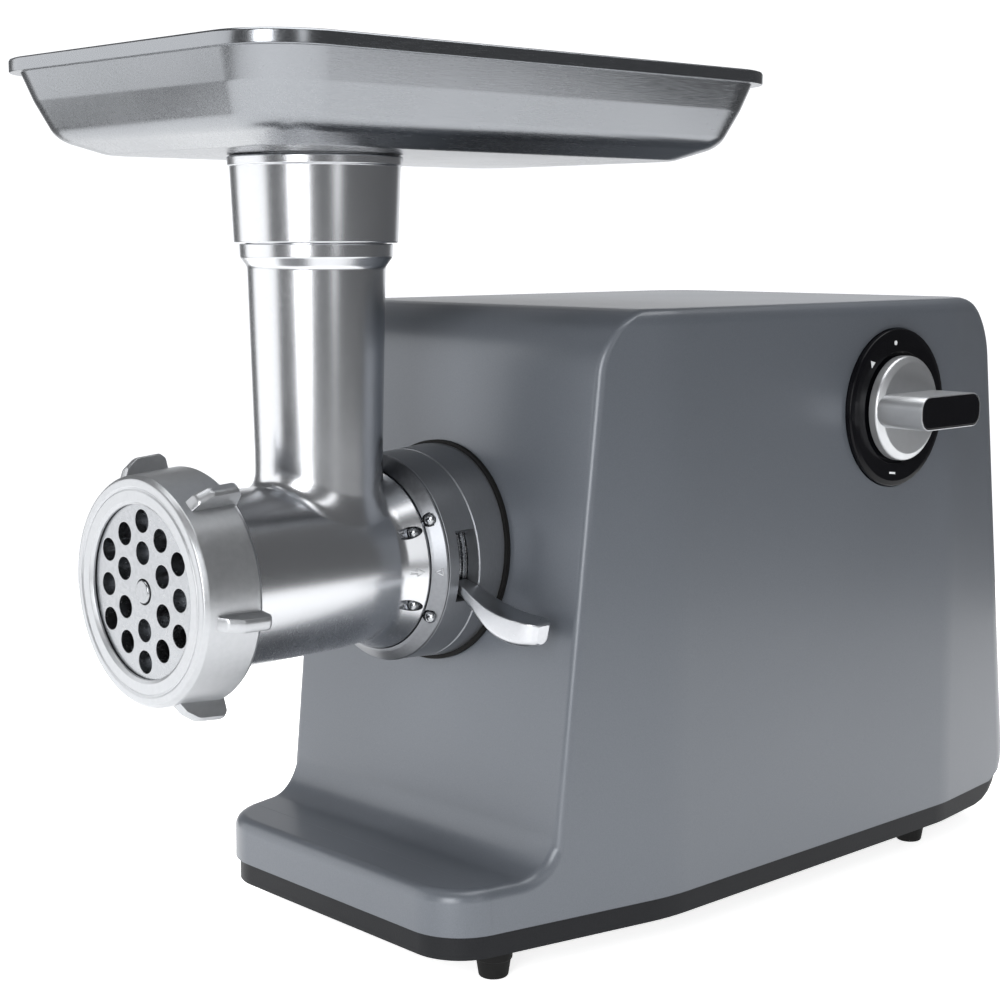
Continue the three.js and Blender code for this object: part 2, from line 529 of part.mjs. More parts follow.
// Auger: one closed skin whose radius rises to the flight's edge along a helix.
const AUGER = { core: 11, coreEnd: 16, flight: BORE_R - 0.9, pitch: 34, sides: 18, steps: 26 };
function augerSkin() {
  const [from, to] = [AUGER_Y, AUGER_END_Y];
  const rings = Array.from({ length: AUGER.steps + 1 }, (_, j) => {
    const share = j / AUGER.steps;
    const y = from + share * (to - from);
    const core = AUGER.core + (AUGER.coreEnd - AUGER.core) * share;
    return Array.from({ length: AUGER.sides }, (__, i) => {
      const a = (2 * Math.PI * i) / AUGER.sides;
      const phase = Math.cos(a - (2 * Math.PI * y) / AUGER.pitch);
      const rise = THREE.MathUtils.smoothstep(phase, 0.45, 0.92);
      const r = core + (AUGER.flight - core) * rise;
      return [r * Math.cos(a), r * Math.sin(a), y];
    });
  });
  return loft(rings).applyMatrix4(TO_Y).translate(0, 0, AXIS_Z);
}
const KNIFE_SQUARE = 5.6; // half of the knife's square seat
const hexagon = (r) => circle(r, 6, 0, AXIS_Z);
const auger = cut(join(augerSkin(),
  box(-KNIFE_SQUARE, KNIFE_SQUARE, KNIFE_Y, AUGER_Y + 1, AXIS_Z - KNIFE_SQUARE, AXIS_Z + KNIFE_SQUARE),
  turnY(rod(PIN_R, PLATE_FRONT_Y - 0.8, AUGER_Y), 12)),
slabY(hexagon(SHAFT.hex + GAP), AUGER_END_Y - 14, AUGER_END_Y + 1));
add("auger", auger, aluminium);
add("auger_shaft", join(slabY(hexagon(SHAFT.hex), AUGER_END_Y - 13.7, SHAFT.end),
  turnY(rod(SHAFT.r, AUGER_END_Y + GAP, SPIGOT_END_Y), 14)), steel);

const KNIFE_HUB_R = 10.5;
const blade = [0, 90, 180, 270].flatMap((a) => [[KNIFE_HUB_R, a - 38], [BORE_R - 1.4, a - 12],
  [BORE_R - 1.1, a + 6], [KNIFE_HUB_R, a + 24]].map(([r, degrees]) => aroundAxis(r, degrees)));
const squareHole = [[-1, -1], [1, -1], [1, 1], [-1, 1]].map(([x, z]) =>
  [x * (KNIFE_SQUARE + GAP), AXIS_Z + z * (KNIFE_SQUARE + GAP)]);
add("knife", slabY(blade, KNIFE_Y, KNIFE_Y + KNIFE_T, [squareHole]), steel);

// [ring of six holes: its radius, angle of its first hole]
const HOLE_RINGS = [[PLATE_R - 18.1, 30], [PLATE_R - 7.5, 30], [PLATE_R - 10, 0]];
const plateHoles = HOLE_RINGS.flatMap(([r, start]) =>
  [0, 1, 2, 3, 4, 5].map((k) => circle(PLATE_HOLE_R, 8, ...aroundAxis(r, start + 60 * k))));
const plate = cut(slabY(circle(PLATE_R, 32, 0, AXIS_Z), PLATE_FRONT_Y, PLATE_REAR_Y,
  [...plateHoles, circle(PIN_R + GAP, 12, 0, AXIS_Z)]),
box(-KEY.half - GAP, KEY.half + GAP, PLATE_FRONT_Y - 1, PLATE_REAR_Y + 1,
  AXIS_Z - PLATE_R - 2, AXIS_Z - PLATE_R + KEY.high + GAP));
add("grinding_plate", plate, steel);

const RING_REAR_Y = FACE_Y + RING_LENGTH;
const ringBody = turnY([[PLATE_R - 2, FACE_Y + 0.6], [PLATE_R - 1.4, FACE_Y], [RING_R - 2, FACE_Y],
  [RING_R, FACE_Y + 2], [RING_R + 1.5, RING_REAR_Y - 1.5], [RING_R + 0.5, RING_REAR_Y],
  [NUT_BORE_R, RING_REAR_Y], [NUT_BORE_R, FACE_Y + RING_LIP], [PLATE_R - 2, FACE_Y + RING_LIP]], 32);
const lugOutline = [[FACE_Y + 4, RING_R - 2], [FACE_Y + 8, LUG_R - 2.5], [FACE_Y + 12, LUG_R],
  [RING_REAR_Y - 1.2, LUG_R + 0.6], [RING_REAR_Y, LUG_R - 1], [RING_REAR_Y, RING_R - 2]];
const lugs = [0, 1, 2, 3, 4, 5].map((k) => slabX(lugOutline, -LUG_T / 2, LUG_T / 2)
  .rotateY(THREE.MathUtils.degToRad(98 + 60 * k)).translate(0, 0, AXIS_Z));
add("ring_nut", join(ringBody, ...lugs), aluminium);

// ---------- hopper tray ----------
// [depth below the rim, distance drawn in from the rim's outline]
const RIM_BAND = 4.5;
const PAN_WALL = [[TRAY_DEPTH, 32], [TRAY_DEPTH - 1.2, 23], [TRAY_DEPTH - 3.5, 16], [TRAY_DEPTH - 6.5, 12],
  [TRAY_DEPTH - 11.2, 9.4], [TRAY_DEPTH - 17.8, 6.6], [RIM_BAND, 3.2]];
function panRing(depth, drawn) {
  const corners = [[TRAY_HALF, -TRAY_FRONT], [TRAY_HALF, TRAY_REAR], [-TRAY_HALF, TRAY_REAR],
    [-TRAY_HALF, -TRAY_FRONT]].map(([x, y]) => ({ x, y, r: TRAY_CORNER_R, steps: 5 }));
  const drawnIn = inset(corners, [drawn, drawn, drawn, drawn]).map((corner) =>
    ({ ...corner, r: TRAY_CORNER_R - 0.4 * drawn }));
  return rounded(drawnIn).map(([x, y]) => [x, y, TRAY_Z - depth]);
}
const panOutside = loft([...PAN_WALL, [RIM_BAND, 0], [0.8, 0], [0, 0.8]].map(([d, i]) => panRing(d, i)));
const panInside = loft([...PAN_WALL.map(([d, i]) => [d - SHEET, i + SHEET]), [0.8, 2.6], [-2, 2]]
  .map(([d, i]) => panRing(d, i)));
add("hopper_tray", cut(panOutside, panInside, turnZ(rod(NECK_R, TUBE_SHOULDER_Z, TRAY_Z), 28)), stainless);
const PAN_UNDER_Z = TRAY_Z - TRAY_DEPTH - GAP;
add("tray_sleeve", turnZ([[NECK_R, TUBE_SHOULDER_Z + GAP], [SLEEVE_R - 1.1, TUBE_SHOULDER_Z + GAP],
  [SLEEVE_R, PAN_UNDER_Z - 3.4], [SLEEVE_R + 1, PAN_UNDER_Z - 3], [SLEEVE_R + 1, PAN_UNDER_Z],
  [NECK_R, PAN_UNDER_Z]], 28), aluminium);

// ---------- rotary switch ----------
const SWITCH_SHAFT_R = 4;
add("dial_ring", turnX([[SWITCH_SHAFT_R + GAP, dialBack], [DIAL.r, dialBack], [DIAL.r, dialFront - 1],
  [DIAL.r - 1.5, dialFront], [SWITCH_SHAFT_R + GAP, dialFront]], 28, DIAL.y, DIAL.z), black);
const discBack = dialFront + GAP;
const knobEnd = dialFront + KNOB.reach;
const knobDisc = turnX([[0, discBack], [KNOB.r, discBack], [KNOB.r, discBack + KNOB.disc - 1.5],
  [KNOB.r - 1.5, discBack + KNOB.disc], [0, discBack + KNOB.disc]], 28, DIAL.y, DIAL.z);
const gripCorners = [[-1, -1], [1, -1], [1, 1], [-1, 1]].map(([u, v]) =>
  ({ x: (u * KNOB.length) / 2, y: (v * KNOB.height) / 2, r: KNOB.corner, steps: 4 }));
const grip = slabX(rounded(gripCorners).map(([y, z]) => [DIAL.y + y, DIAL.z + z]), discBack + 1, knobEnd);
// The insert fills the grip's end but for a thin rim.
const INSERT = { rim: 0.8, depth: 3 };
const insertPill = (grow) => {
  const corners = inset(gripCorners.map((corner) => ({ ...corner })), Array(4).fill(INSERT.rim - grow));
  return slabX(rounded(corners).map(([y, z]) => [DIAL.y + y, DIAL.z + z]),
    knobEnd - INSERT.depth - grow, knobEnd + (grow ? 2 : 0));
};
const knobShaft = turnX(rod(SWITCH_SHAFT_R, dialBack - 17, discBack + 1), 12, DIAL.y, DIAL.z);
add("switch_knob", cut(join(knobDisc, grip, knobShaft), insertPill(GAP)), silver);
add("knob_insert", insertPill(0), black);
const SWITCH_CASE = { length: 29, half: 17, high: 16 };
const switchFront = dialBack - 4.2;
const switchCase = box(switchFront - SWITCH_CASE.length, switchFront, DIAL.y - SWITCH_CASE.half,
  DIAL.y + SWITCH_CASE.half, DIAL.z - SWITCH_CASE.high, DIAL.z + SWITCH_CASE.high);
const shaftHole = turnX(rod(SWITCH_SHAFT_R + GAP, switchFront - 21, switchFront + 9), 12, DIAL.y, DIAL.z);
add("switch_body", cut(switchCase, shaftHole), charcoal);

// ---------- gear train ----------
// Straight-flanked teeth, thin enough at the pitch line to leave backlash.
function gearOutline(module, teeth, x, z, phase) {
  const pitch = 360 / teeth;
  const r = (module * teeth) / 2;
  return Array.from({ length: teeth }, (_, k) => [[r - 1.15 * module, -0.29], [r + 0.9 * module, -0.1],
    [r + 0.9 * module, 0.1], [r - 1.15 * module, 0.29]].map(([radius, share]) => {
    const [dx, dz] = polar(radius, phase + (k + share) * pitch);
    return [x + dx, z + dz];
  })).flat();
}
const gear = (module, teeth, y0, y1, x, z, phase, hole) =>
  slabY(gearOutline(module, teeth, x, z, phase), y0, y1, [circle(hole, 12, x, z)]);
const solidGear = (module, teeth, y0, y1, x, z, phase) =>
  slabY(gearOutline(module, teeth, x, z, phase), y0, y1);
// Centre of a driving pinion at the right distance from its wheel.
function pinionCentre(wheel, module, teeth, pinion, angle) {
  const [dx, dz] = polar((module * (teeth + pinion)) / 2, angle);
  return [wheel[0] + dx, wheel[1] + dz];
}
// Phase that puts a gap of the driven gear where the driver has a tooth, along the line of centres.
const meshPhase = (teeth, angle) => angle + 180 + 180 / teeth;

const outputAt = [OUTPUT.x, OUTPUT.z];
const stage2At = pinionCentre(outputAt, OUTPUT.module, OUTPUT.teeth, STAGE_2.pinion, STAGE_2.angle);
const stage1At = pinionCentre(stage2At, STAGE_2.module, STAGE_2.teeth, STAGE_1.pinion, STAGE_1.angle);
const motorAt = pinionCentre(stage1At, STAGE_1.module, STAGE_1.teeth, MOTOR.pinion, MOTOR.angle);

const HUB_Y = OUTPUT.y1 + 1.2;
const SPINDLE_Y = SPIGOT_END_Y + 2 * GAP;
add("output_gear", gear(OUTPUT.module, OUTPUT.teeth, OUTPUT.y0, OUTPUT.y1, ...outputAt, STAGE_2.angle,
  SPINDLE_R + GAP), nylon);
const coverY = [CASE.y1 + GAP, CASE.y1 + GAP + COVER_T];
const SPINDLE_END_R = 4;
const spindle = turnY([[0, SPINDLE_Y], [SPINDLE_R, SPINDLE_Y], [SPINDLE_R, HUB_Y], [SPINDLE_END_R, HUB_Y],
  [SPINDLE_END_R, coverY[1]], [0, coverY[1]]], 16);
add("drive_spindle", cut(spindle, slabY(hexagon(SHAFT.hex + GAP), SPINDLE_Y - 5, SHAFT.end + 2)), steel);

function compoundGear(name, at, wheel, pinionModule, pinionTeeth, pinionY, wheelPhase, pinionPhase) {
  const solid = join(solidGear(pinionModule, pinionTeeth, ...pinionY, ...at, pinionPhase),
    solidGear(wheel.module, wheel.teeth, wheel.y0, wheel.y1, ...at, wheelPhase),
    turnY(rod(AXLE_R + 2.5, pinionY[0], wheel.y1), 12, ...at));
  add(name, cut(solid, turnY(rod(AXLE_R + GAP, 50, 130), 12, ...at)), nylon);
}
compoundGear("gear_stage_2", stage2At, STAGE_2, OUTPUT.module, STAGE_2.pinion, [OUTPUT.y0, OUTPUT.y1 + 1],
  STAGE_1.angle, meshPhase(STAGE_2.pinion, STAGE_2.angle));
compoundGear("gear_stage_1", stage1At, STAGE_1, STAGE_2.module, STAGE_1.pinion, [STAGE_2.y0, STAGE_2.y1 + 1],
  MOTOR.angle, meshPhase(STAGE_1.pinion, STAGE_1.angle));
add("axle_stage_2", turnY(rod(AXLE_R, CASE.y0 + GAP, coverY[1]), 12, ...stage2At), steel);
add("axle_stage_1", turnY(rod(AXLE_R, CASE.y0 + GAP, coverY[1]), 12, ...stage1At), steel);

const train = [[outputAt, OUTPUT], [stage2At, STAGE_2], [stage1At, STAGE_1]]
  .map(([at, wheel]) => [at, wheel.module * (wheel.teeth / 2 + 1)]);
const caseOutline = (margin) => hull(train.flatMap(([[x, z], r]) => circle(r + margin, 16, x, z)));
const LUG = { r: 5, out: 3 };
// Each screw lug stands just outside the wall, at the outline's farthest point in its direction.
const caseScrewAt = [45, 135, 225, 315].map((angle) => {
  const [c, s] = polar(1, angle);
  return caseOutline(CASE.margin + CASE.wall + LUG.out)
    .reduce((best, p) => (p[0] * c + p[1] * s > best[0] * c + best[1] * s ? p : best));
});
const caseLugs = (y0, y1) => caseScrewAt.map(([x, z]) => turnY(rod(LUG.r, y0, y1), 10, x, z));
const axleHoles = [stage2At, stage1At].map(([x, z]) => turnY(rod(AXLE_R + GAP, 60, 120), 12, x, z));
const caseScrewHoles = caseScrewAt.map(([x, z]) => turnY(rod(1.8, CASE.y1 - 16, coverY[1] + 1), 10, x, z));
const BUSH_R = 12;
const noseY = CASE.y0 - 6;
const nose = turnY(rod(BUSH_R + 4, noseY, CASE.y0 + 1), 16);
const caseShell = cut(slabY(caseOutline(CASE.margin + CASE.wall), CASE.y0, CASE.y1),
  slabY(caseOutline(CASE.margin), CASE.y0 + CASE.wall, CASE.y1 + 1));
add("gearbox_case", cut(join(caseShell, nose, ...caseLugs(CASE.y0, CASE.y1)),
  turnY(rod(BUSH_R + GAP, noseY - 1, CASE.y0 + 5), 16), ...axleHoles, ...caseScrewHoles,
  ...shankHoles(50, 80)), silver);
add("output_bush", turnY(pipe(BUSH_R, SPINDLE_R + GAP, noseY, OUTPUT.y0 - GAP), 16), brass);
const coverPlate = slabY(caseOutline(CASE.margin + CASE.wall), ...coverY);
add("gearbox_cover", cut(join(coverPlate, ...caseLugs(...coverY)),
  ...axleHoles, ...caseScrewHoles, turnY(rod(SPINDLE_END_R + GAP, 100, 120), 12),
  turnY(rod(9, 100, 120), 12, ...motorAt)), silver);
caseScrewAt.forEach(([x, z], i) => {
  const profile = [[0, CASE.y1 - 14], [1.5, CASE.y1 - 14], [1.5, coverY[1] + GAP], [3.2, coverY[1] + GAP],
    [3.2, coverY[1] + 2.4], [0, coverY[1] + 2.4]];
  add(`gearbox_screw_${i + 1}`, turnY(profile, 10, x, z), steel);
});

// ---------- motor ----------
const bracketY = coverY[1] + 3.2;
const coreY = [bracketY + 14, bracketY + 14 + MOTOR.core];
const rearY0 = coreY[1] + GAP;
const rearPlateY = rearY0 + 16;
const BEARING_R = 9.3;
const MOTOR_SHAFT_R = 4;
const atMotor = (profile, sides) => turnY(profile, sides, ...motorAt);
add("motor_front_bracket", join(atMotor(pipe(MOTOR.r, BEARING_R + GAP, bracketY, bracketY + 4), 24),
  atMotor(pipe(MOTOR.r, MOTOR.r - 3.5, bracketY, coreY[0] - GAP), 24)), silver);
const bearing = (y) => atMotor(pipe(BEARING_R, MOTOR_SHAFT_R + GAP, y - 1, y + 6), 14);
add("motor_front_bearing", bearing(bracketY), steel);
const statorFlats = [1, -1].map((side) => box(motorAt[0] + (side > 0 ? MOTOR.r - 4 : -MOTOR.r - 5),
  motorAt[0] + (side > 0 ? MOTOR.r + 5 : -MOTOR.r + 4), coreY[0] - 1, coreY[1] + 1,
  motorAt[1] - MOTOR.r, motorAt[1] + MOTOR.r));
add("motor_stator", cut(atMotor(pipe(MOTOR.r, MOTOR.rotor + 0.6, ...coreY), 28), ...statorFlats), darkMetal);
const COMMUTATOR_R = 11;
const brushY = [rearY0 + 4.3, rearY0 + 12];
const brush = (up, grow) => {
  const span = [COMMUTATOR_R + GAP, 25].map((r) => motorAt[1] + up * r).sort((p, q) => p - q);
  return box(motorAt[0] - 3 - grow, motorAt[0] + 3 + grow, brushY[0] - grow, brushY[1] + grow,
    span[0] - (grow ? 3 : 0), span[1] + (grow ? 3 : 0));
};
const holder = (up) => {
  const span = [14, 23].map((r) => motorAt[1] + up * r).sort((p, q) => p - q);
  return box(motorAt[0] - 5.5, motorAt[0] + 5.5, brushY[0] - 2, rearPlateY + 1, ...span);
};
add("motor_rear_bracket", cut(join(atMotor(pipe(MOTOR.r, BEARING_R + GAP, rearPlateY, rearPlateY + 4), 24),
  atMotor(pipe(MOTOR.r, MOTOR.r - 3.5, rearY0, rearPlateY + 1), 24), holder(1), holder(-1)),
brush(1, GAP), brush(-1, GAP)), silver);
add("motor_rear_bearing", bearing(rearPlateY), steel);
add("carbon_brush_upper", brush(1, 0), charcoal);
add("carbon_brush_lower", brush(-1, 0), charcoal);
const shaftEnd = rearPlateY + 24;
add("motor_rotor", atMotor([[0, STAGE_1.y0 - 2], [AXLE_R, STAGE_1.y0 - 2], [AXLE_R, STAGE_1.y1 + 2],
  [MOTOR_SHAFT_R, STAGE_1.y1 + 2], [MOTOR_SHAFT_R, coreY[0] - 8], [18, coreY[0] - 7], [20, coreY[0]],
  [MOTOR.rotor, coreY[0]], [MOTOR.rotor, coreY[1]], [20, coreY[1]], [16, brushY[0] - 2.6],
  [COMMUTATOR_R, brushY[0] - 2], [COMMUTATOR_R, brushY[1] + 1], [MOTOR_SHAFT_R, brushY[1] + 1],
  [MOTOR_SHAFT_R, shaftEnd], [0, shaftEnd]], 20), steel);
add("motor_pinion", gear(STAGE_1.module, MOTOR.pinion, STAGE_1.y0, STAGE_1.y1, ...motorAt,
  meshPhase(MOTOR.pinion, MOTOR.angle), AXLE_R + GAP), steel);
const FAN = { r: 36, blades: 9, y0: rearPlateY + 9, y1: rearPlateY + 21 };
const fanBlades = Array.from({ length: FAN.blades }, (_, k) => box(10, FAN.r, FAN.y0, FAN.y1, -0.8, 0.8)
  .rotateY((2 * Math.PI * k) / FAN.blades).translate(motorAt[0], 0, motorAt[1]));
add("cooling_fan", join(atMotor(pipe(FAN.r, MOTOR_SHAFT_R + GAP, FAN.y0, FAN.y0 + 1.6), 24),
  atMotor(pipe(11, MOTOR_SHAFT_R + GAP, FAN.y0, FAN.y1), 14), ...fanBlades), nylon);

// ---------- origin: centre of the footprint, at the feet ----------
const bounds = new THREE.Box3().setFromObject(root);
const middle = bounds.getCenter(new THREE.Vector3());
root.position.set(-middle.x, -middle.y, -bounds.min.z);
const group = new THREE.Group();
group.add(root);

export default group;
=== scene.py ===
# Electric meat grinder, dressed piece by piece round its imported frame.
# Each section builds one piece or one group of like pieces, in the order they are put together.
import json
import math

import bmesh
import bpy
from mathutils import Matrix, Vector
from mathutils.geometry import tessellate_polygon


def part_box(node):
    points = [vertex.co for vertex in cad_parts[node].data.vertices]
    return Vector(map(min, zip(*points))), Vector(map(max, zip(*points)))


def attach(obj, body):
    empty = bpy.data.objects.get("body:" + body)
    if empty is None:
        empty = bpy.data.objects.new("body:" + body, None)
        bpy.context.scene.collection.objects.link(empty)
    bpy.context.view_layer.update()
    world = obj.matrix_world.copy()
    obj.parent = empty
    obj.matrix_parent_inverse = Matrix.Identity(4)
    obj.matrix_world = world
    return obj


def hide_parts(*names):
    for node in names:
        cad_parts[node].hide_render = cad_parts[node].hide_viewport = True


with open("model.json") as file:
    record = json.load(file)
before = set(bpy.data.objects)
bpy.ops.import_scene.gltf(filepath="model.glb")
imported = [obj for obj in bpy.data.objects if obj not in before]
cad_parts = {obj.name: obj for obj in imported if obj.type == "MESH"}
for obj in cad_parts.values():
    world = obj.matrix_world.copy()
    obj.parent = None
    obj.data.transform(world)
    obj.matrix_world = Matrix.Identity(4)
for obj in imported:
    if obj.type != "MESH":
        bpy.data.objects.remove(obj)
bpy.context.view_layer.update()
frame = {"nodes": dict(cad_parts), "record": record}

# --- Camera ---------------------------------------------------------------------------------
# A short telephoto lens, a little above the tray, turned 46.6 degrees round from the ring nut.
camera = bpy.data.objects.new("camera", bpy.data.cameras.new("camera"))
bpy.context.scene.collection.objects.link(camera)
camera.data.lens = 68.06
camera.data.sensor_width = 36
camera.location = (0.5114, -0.53188, 0.257)
camera.rotation_euler = (math.radians(90 - 7.86), 0, math.radians(46.6))
bpy.context.scene.camera = camera

# --- Floor and light ------------------------------------------------------------------------
# A round pale light table in front of a white screen, one large soft light at the front left,
# one overhead, a strip beside the camera and a narrow one for the edges on the switch side.
floor_mesh = bpy.data.meshes.new("floor")
FLOOR_R, FLOOR_SIDES = 0.75, 128
floor_mesh.from_pydata([(FLOOR_R * math.cos(2 * math.pi * k / FLOOR_SIDES),
                         FLOOR_R * math.sin(2 * math.pi * k / FLOOR_SIDES), 0) for k in range(FLOOR_SIDES)],
                       [], [tuple(range(FLOOR_SIDES))])
floor = bpy.data.objects.new("floor", floor_mesh)
bpy.context.scene.collection.objects.link(floor)
floor_paint = bpy.data.materials.new("pale_floor")
floor_paint.use_nodes = True
floor_shader = floor_paint.node_tree.nodes["Principled BSDF"]
floor_shader.inputs["Base Color"].default_value = (0.93, 0.93, 0.93, 1)
floor_shader.inputs["Roughness"].default_value = 0.65
floor_shader.inputs["Emission Color"].default_value = (1, 1, 1, 1)
floor_shader.inputs["Emission Strength"].default_value = 0.8
floor_mesh.materials.append(floor_paint)

world = bpy.data.worlds.new("studio")
world.use_nodes = True
bpy.context.scene.world = world
sky = world.node_tree.nodes
background = sky["Background"]
direction = sky.new("ShaderNodeTexCoord")
facing = sky.new("ShaderNodeVectorMath")
facing.operation = "DOT_PRODUCT"
facing.inputs[1].default_value = (-0.72, 0.68, -0.137)
fade = sky.new("ShaderNodeMapRange")
fade.interpolation_type = "SMOOTHSTEP"
fade.inputs["From Min"].default_value = 0.87
fade.inputs["From Max"].default_value = 0.925
fade.inputs["To Min"].default_value = 0.16
fade.inputs["To Max"].default_value = 1.15
world.node_tree.links.new(direction.outputs["Generated"], facing.inputs[0])
world.node_tree.links.new(facing.outputs["Value"], fade.inputs["Value"])
world.node_tree.links.new(fade.outputs["Result"], background.inputs["Strength"])
background.inputs["Color"].default_value = (0.97, 0.98, 1.0, 1)


def soft_light(name, place, aim, width, height, power):
    light = bpy.data.objects.new(name, bpy.data.lights.new(name, "AREA"))
    bpy.context.scene.collection.objects.link(light)
    light.data.shape = "RECTANGLE"
    light.data.size = width
    light.data.size_y = height
    light.data.energy = power
    light.location = place
    light.rotation_euler = (Vector(aim) - Vector(place)).to_track_quat("-Z", "Y").to_euler()


soft_light("front_left_light", (-1.35, -1.35, 0.5), (0, -0.05, 0.2), 2.2, 1.8, 22)
soft_light("front_strip_light", (0.95, -1.85, 0.65), (0, -0.1, 0.18), 0.8, 1.4, 32)
soft_light("overhead_light", (-0.1, 0.2, 1.9), (0, 0, 0), 2.0, 2.0, 46)
soft_light("edge_light", (1.5, -0.35, 0.7), (0.05, 0, 0.15), 0.3, 1.2, 2.5)
bpy.context.scene.view_settings.view_transform = "Standard"

# --- Housing --------------------------------------------------------------------------------
# One moulded shell in satin grey-blue metallic lacquer: a tall block that leans back at the
# front, a low shelf where the bowl stands, and a soft cove between them. Four screws from
# below hold it to the base.
sleeve_low, sleeve_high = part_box("tray_sleeve")
# Work is in millimetres from the feed tube's axis and the underside of the base.
start = Vector(((sleeve_low.x + sleeve_high.x) / 2, (sleeve_low.y + sleeve_high.y) / 2,
                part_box("base_tray")[0].z))
MM = 0.001


def local(point):
    """A frame point in metres, as millimetres from the start point."""
    return (Vector(point) - start) / MM


def rounded(corners, step=12):
    """Outline through (u, v, r) corners, each turned by an arc in steps of so many degrees."""
    outline = []
    for i, (u, v, r) in enumerate(corners):
        here = Vector((u, v))
        back = Vector(corners[i - 1][:2]) - here
        on = Vector(corners[(i + 1) % len(corners)][:2]) - here
        room = 0.48 * min(back.length, on.length)
        back.normalize()
        on.normalize()
        half = math.acos(max(-1, min(1, back.dot(on)))) / 2
        reach = min(r / math.tan(half), room) if half < 1.5699 else 0
        if reach < 1e-4:
            outline.append((u, v))
            continue
        centre = here + (back + on).normalized() * (reach / math.cos(half))
        arm = here + back * reach - centre
        sweep = (2 * half - math.pi) * math.copysign(1, back.x * on.y - back.y * on.x)
        count = max(1, round(abs(math.degrees(sweep)) / step))
        for k in range(count + 1):
            turned_arm = Matrix.Rotation(sweep * k / count, 2) @ arm
            outline.append((centre.x + turned_arm.x, centre.y + turned_arm.y))
    return outline


def drawn_in(corners, distances):
    """A counter-clockwise outline's corners with each side moved inwards by its own distance."""
    sides = []
    for i, (u, v, _) in enumerate(corners):
        along = (Vector(corners[(i + 1) % len(corners)][:2]) - Vector((u, v))).normalized()
        sides.append((Vector((u - along.y * distances[i], v + along.x * distances[i])), along))
    moved = []
    for i, (_, _, r) in enumerate(corners):
        (p, along_p), (q, along_q) = sides[i - 1], sides[i]
        cross = along_p.x * along_q.y - along_p.y * along_q.x
        gap = q - p
        hit = p + along_p * ((gap.x * along_q.y - gap.y * along_q.x) / cross)
        moved.append((hit.x, hit.y, max(r - min(distances[i - 1], distances[i]), 0.5)))
    return moved


def build(name, points, faces, sharp=32):
    """A mesh piece from points in millimetres, smooth except across edges sharper than sharp."""
    mesh = bpy.data.meshes.new(name)
    mesh.from_pydata([start + Vector(p) * MM for p in points], [], faces)
    piece = bpy.data.objects.new(name, mesh)
    bpy.context.scene.collection.objects.link(piece)
    return settle(piece, sharp)


def settle(piece, sharp=32):
    """Merges doubled points, turns the faces outwards and marks the sharp edges."""
    shape = bmesh.new()
    shape.from_mesh(piece.data)
    bmesh.ops.remove_doubles(shape, verts=shape.verts, dist=2e-6)
    bmesh.ops.dissolve_degenerate(shape, edges=shape.edges, dist=1e-6)
    bmesh.ops.recalc_face_normals(shape, faces=shape.faces)
    for face in shape.faces:
        face.smooth = True
    for edge in shape.edges:
        edge.smooth = len(edge.link_faces) == 2 and edge.calc_face_angle(0) < math.radians(sharp)
    shape.to_mesh(piece.data)
    shape.free()
    return piece


def loft(name, rings, sharp=32, capped=True):
    """A skin over rings of equal count, with its two ends closed."""
    count = len(rings[0])
    points = [p for ring in rings for p in ring]
    faces = []
    for k in range(len(rings) - 1):
        for i in range(count):
            here, beside = k * count + i, k * count + (i + 1) % count
            faces.append((here, beside, beside + count, here + count))
    if capped:
        faces += [tuple(range(count)), tuple(len(points) - count + i for i in range(count))]
    return build(name, points, faces, sharp)


AXES = {"X": lambda r, s, c, d: (s, r * c, r * d), "Y": lambda r, s, c, d: (r * c, s, r * d),
        "Z": lambda r, s, c, d: (r * c, r * d, s)}


def turned(name, profile, axis, centre=(0, 0, 0), sides=96, sharp=32):
    """A piece turned on a lathe from a closed (radius, station) profile."""
    points = []
    for k in range(sides):
        c, d = math.cos(2 * math.pi * k / sides), math.sin(2 * math.pi * k / sides)
        for r, s in profile:
            points.append(Vector(AXES[axis](r, s, c, d)) + Vector(centre))
    count = len(profile)
    faces = []
    for k in range(sides):
        for i in range(count):
            j = (i + 1) % count
            if profile[i][0] > 1e-6 or profile[j][0] > 1e-6:
                a, b = k * count, ((k + 1) % sides) * count
                faces.append((a + i, a + j, b + j, b + i))
    return build(name, points, faces, sharp)


def combine(piece, tool, how="DIFFERENCE", sharp=32):
    """Cuts or joins tool with piece for good, and removes the tool."""
    step = piece.modifiers.new("cut", "BOOLEAN")
    step.operation = how
    step.solver = "EXACT"
    step.object = tool
    bpy.context.view_layer.update()
    result = bpy.data.meshes.new_from_object(piece.evaluated_get(bpy.context.evaluated_depsgraph_get()))
    piece.modifiers.clear()
    piece.data = result
    bpy.data.objects.remove(tool)
    return settle(piece, sharp)


def fit(piece, body, nodes, paint):
    """Paints the piece, hangs it on its body and lets it stand for its frame nodes."""
    piece.data.materials.clear()
    piece.data.materials.append(paint)
    for face in piece.data.polygons:
        face.material_index = 0
    weighted = piece.modifiers.new("even_shading", "WEIGHTED_NORMAL")
    weighted.keep_sharp = True
    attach(piece, body)
    if nodes:
        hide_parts(*nodes)
    return piece


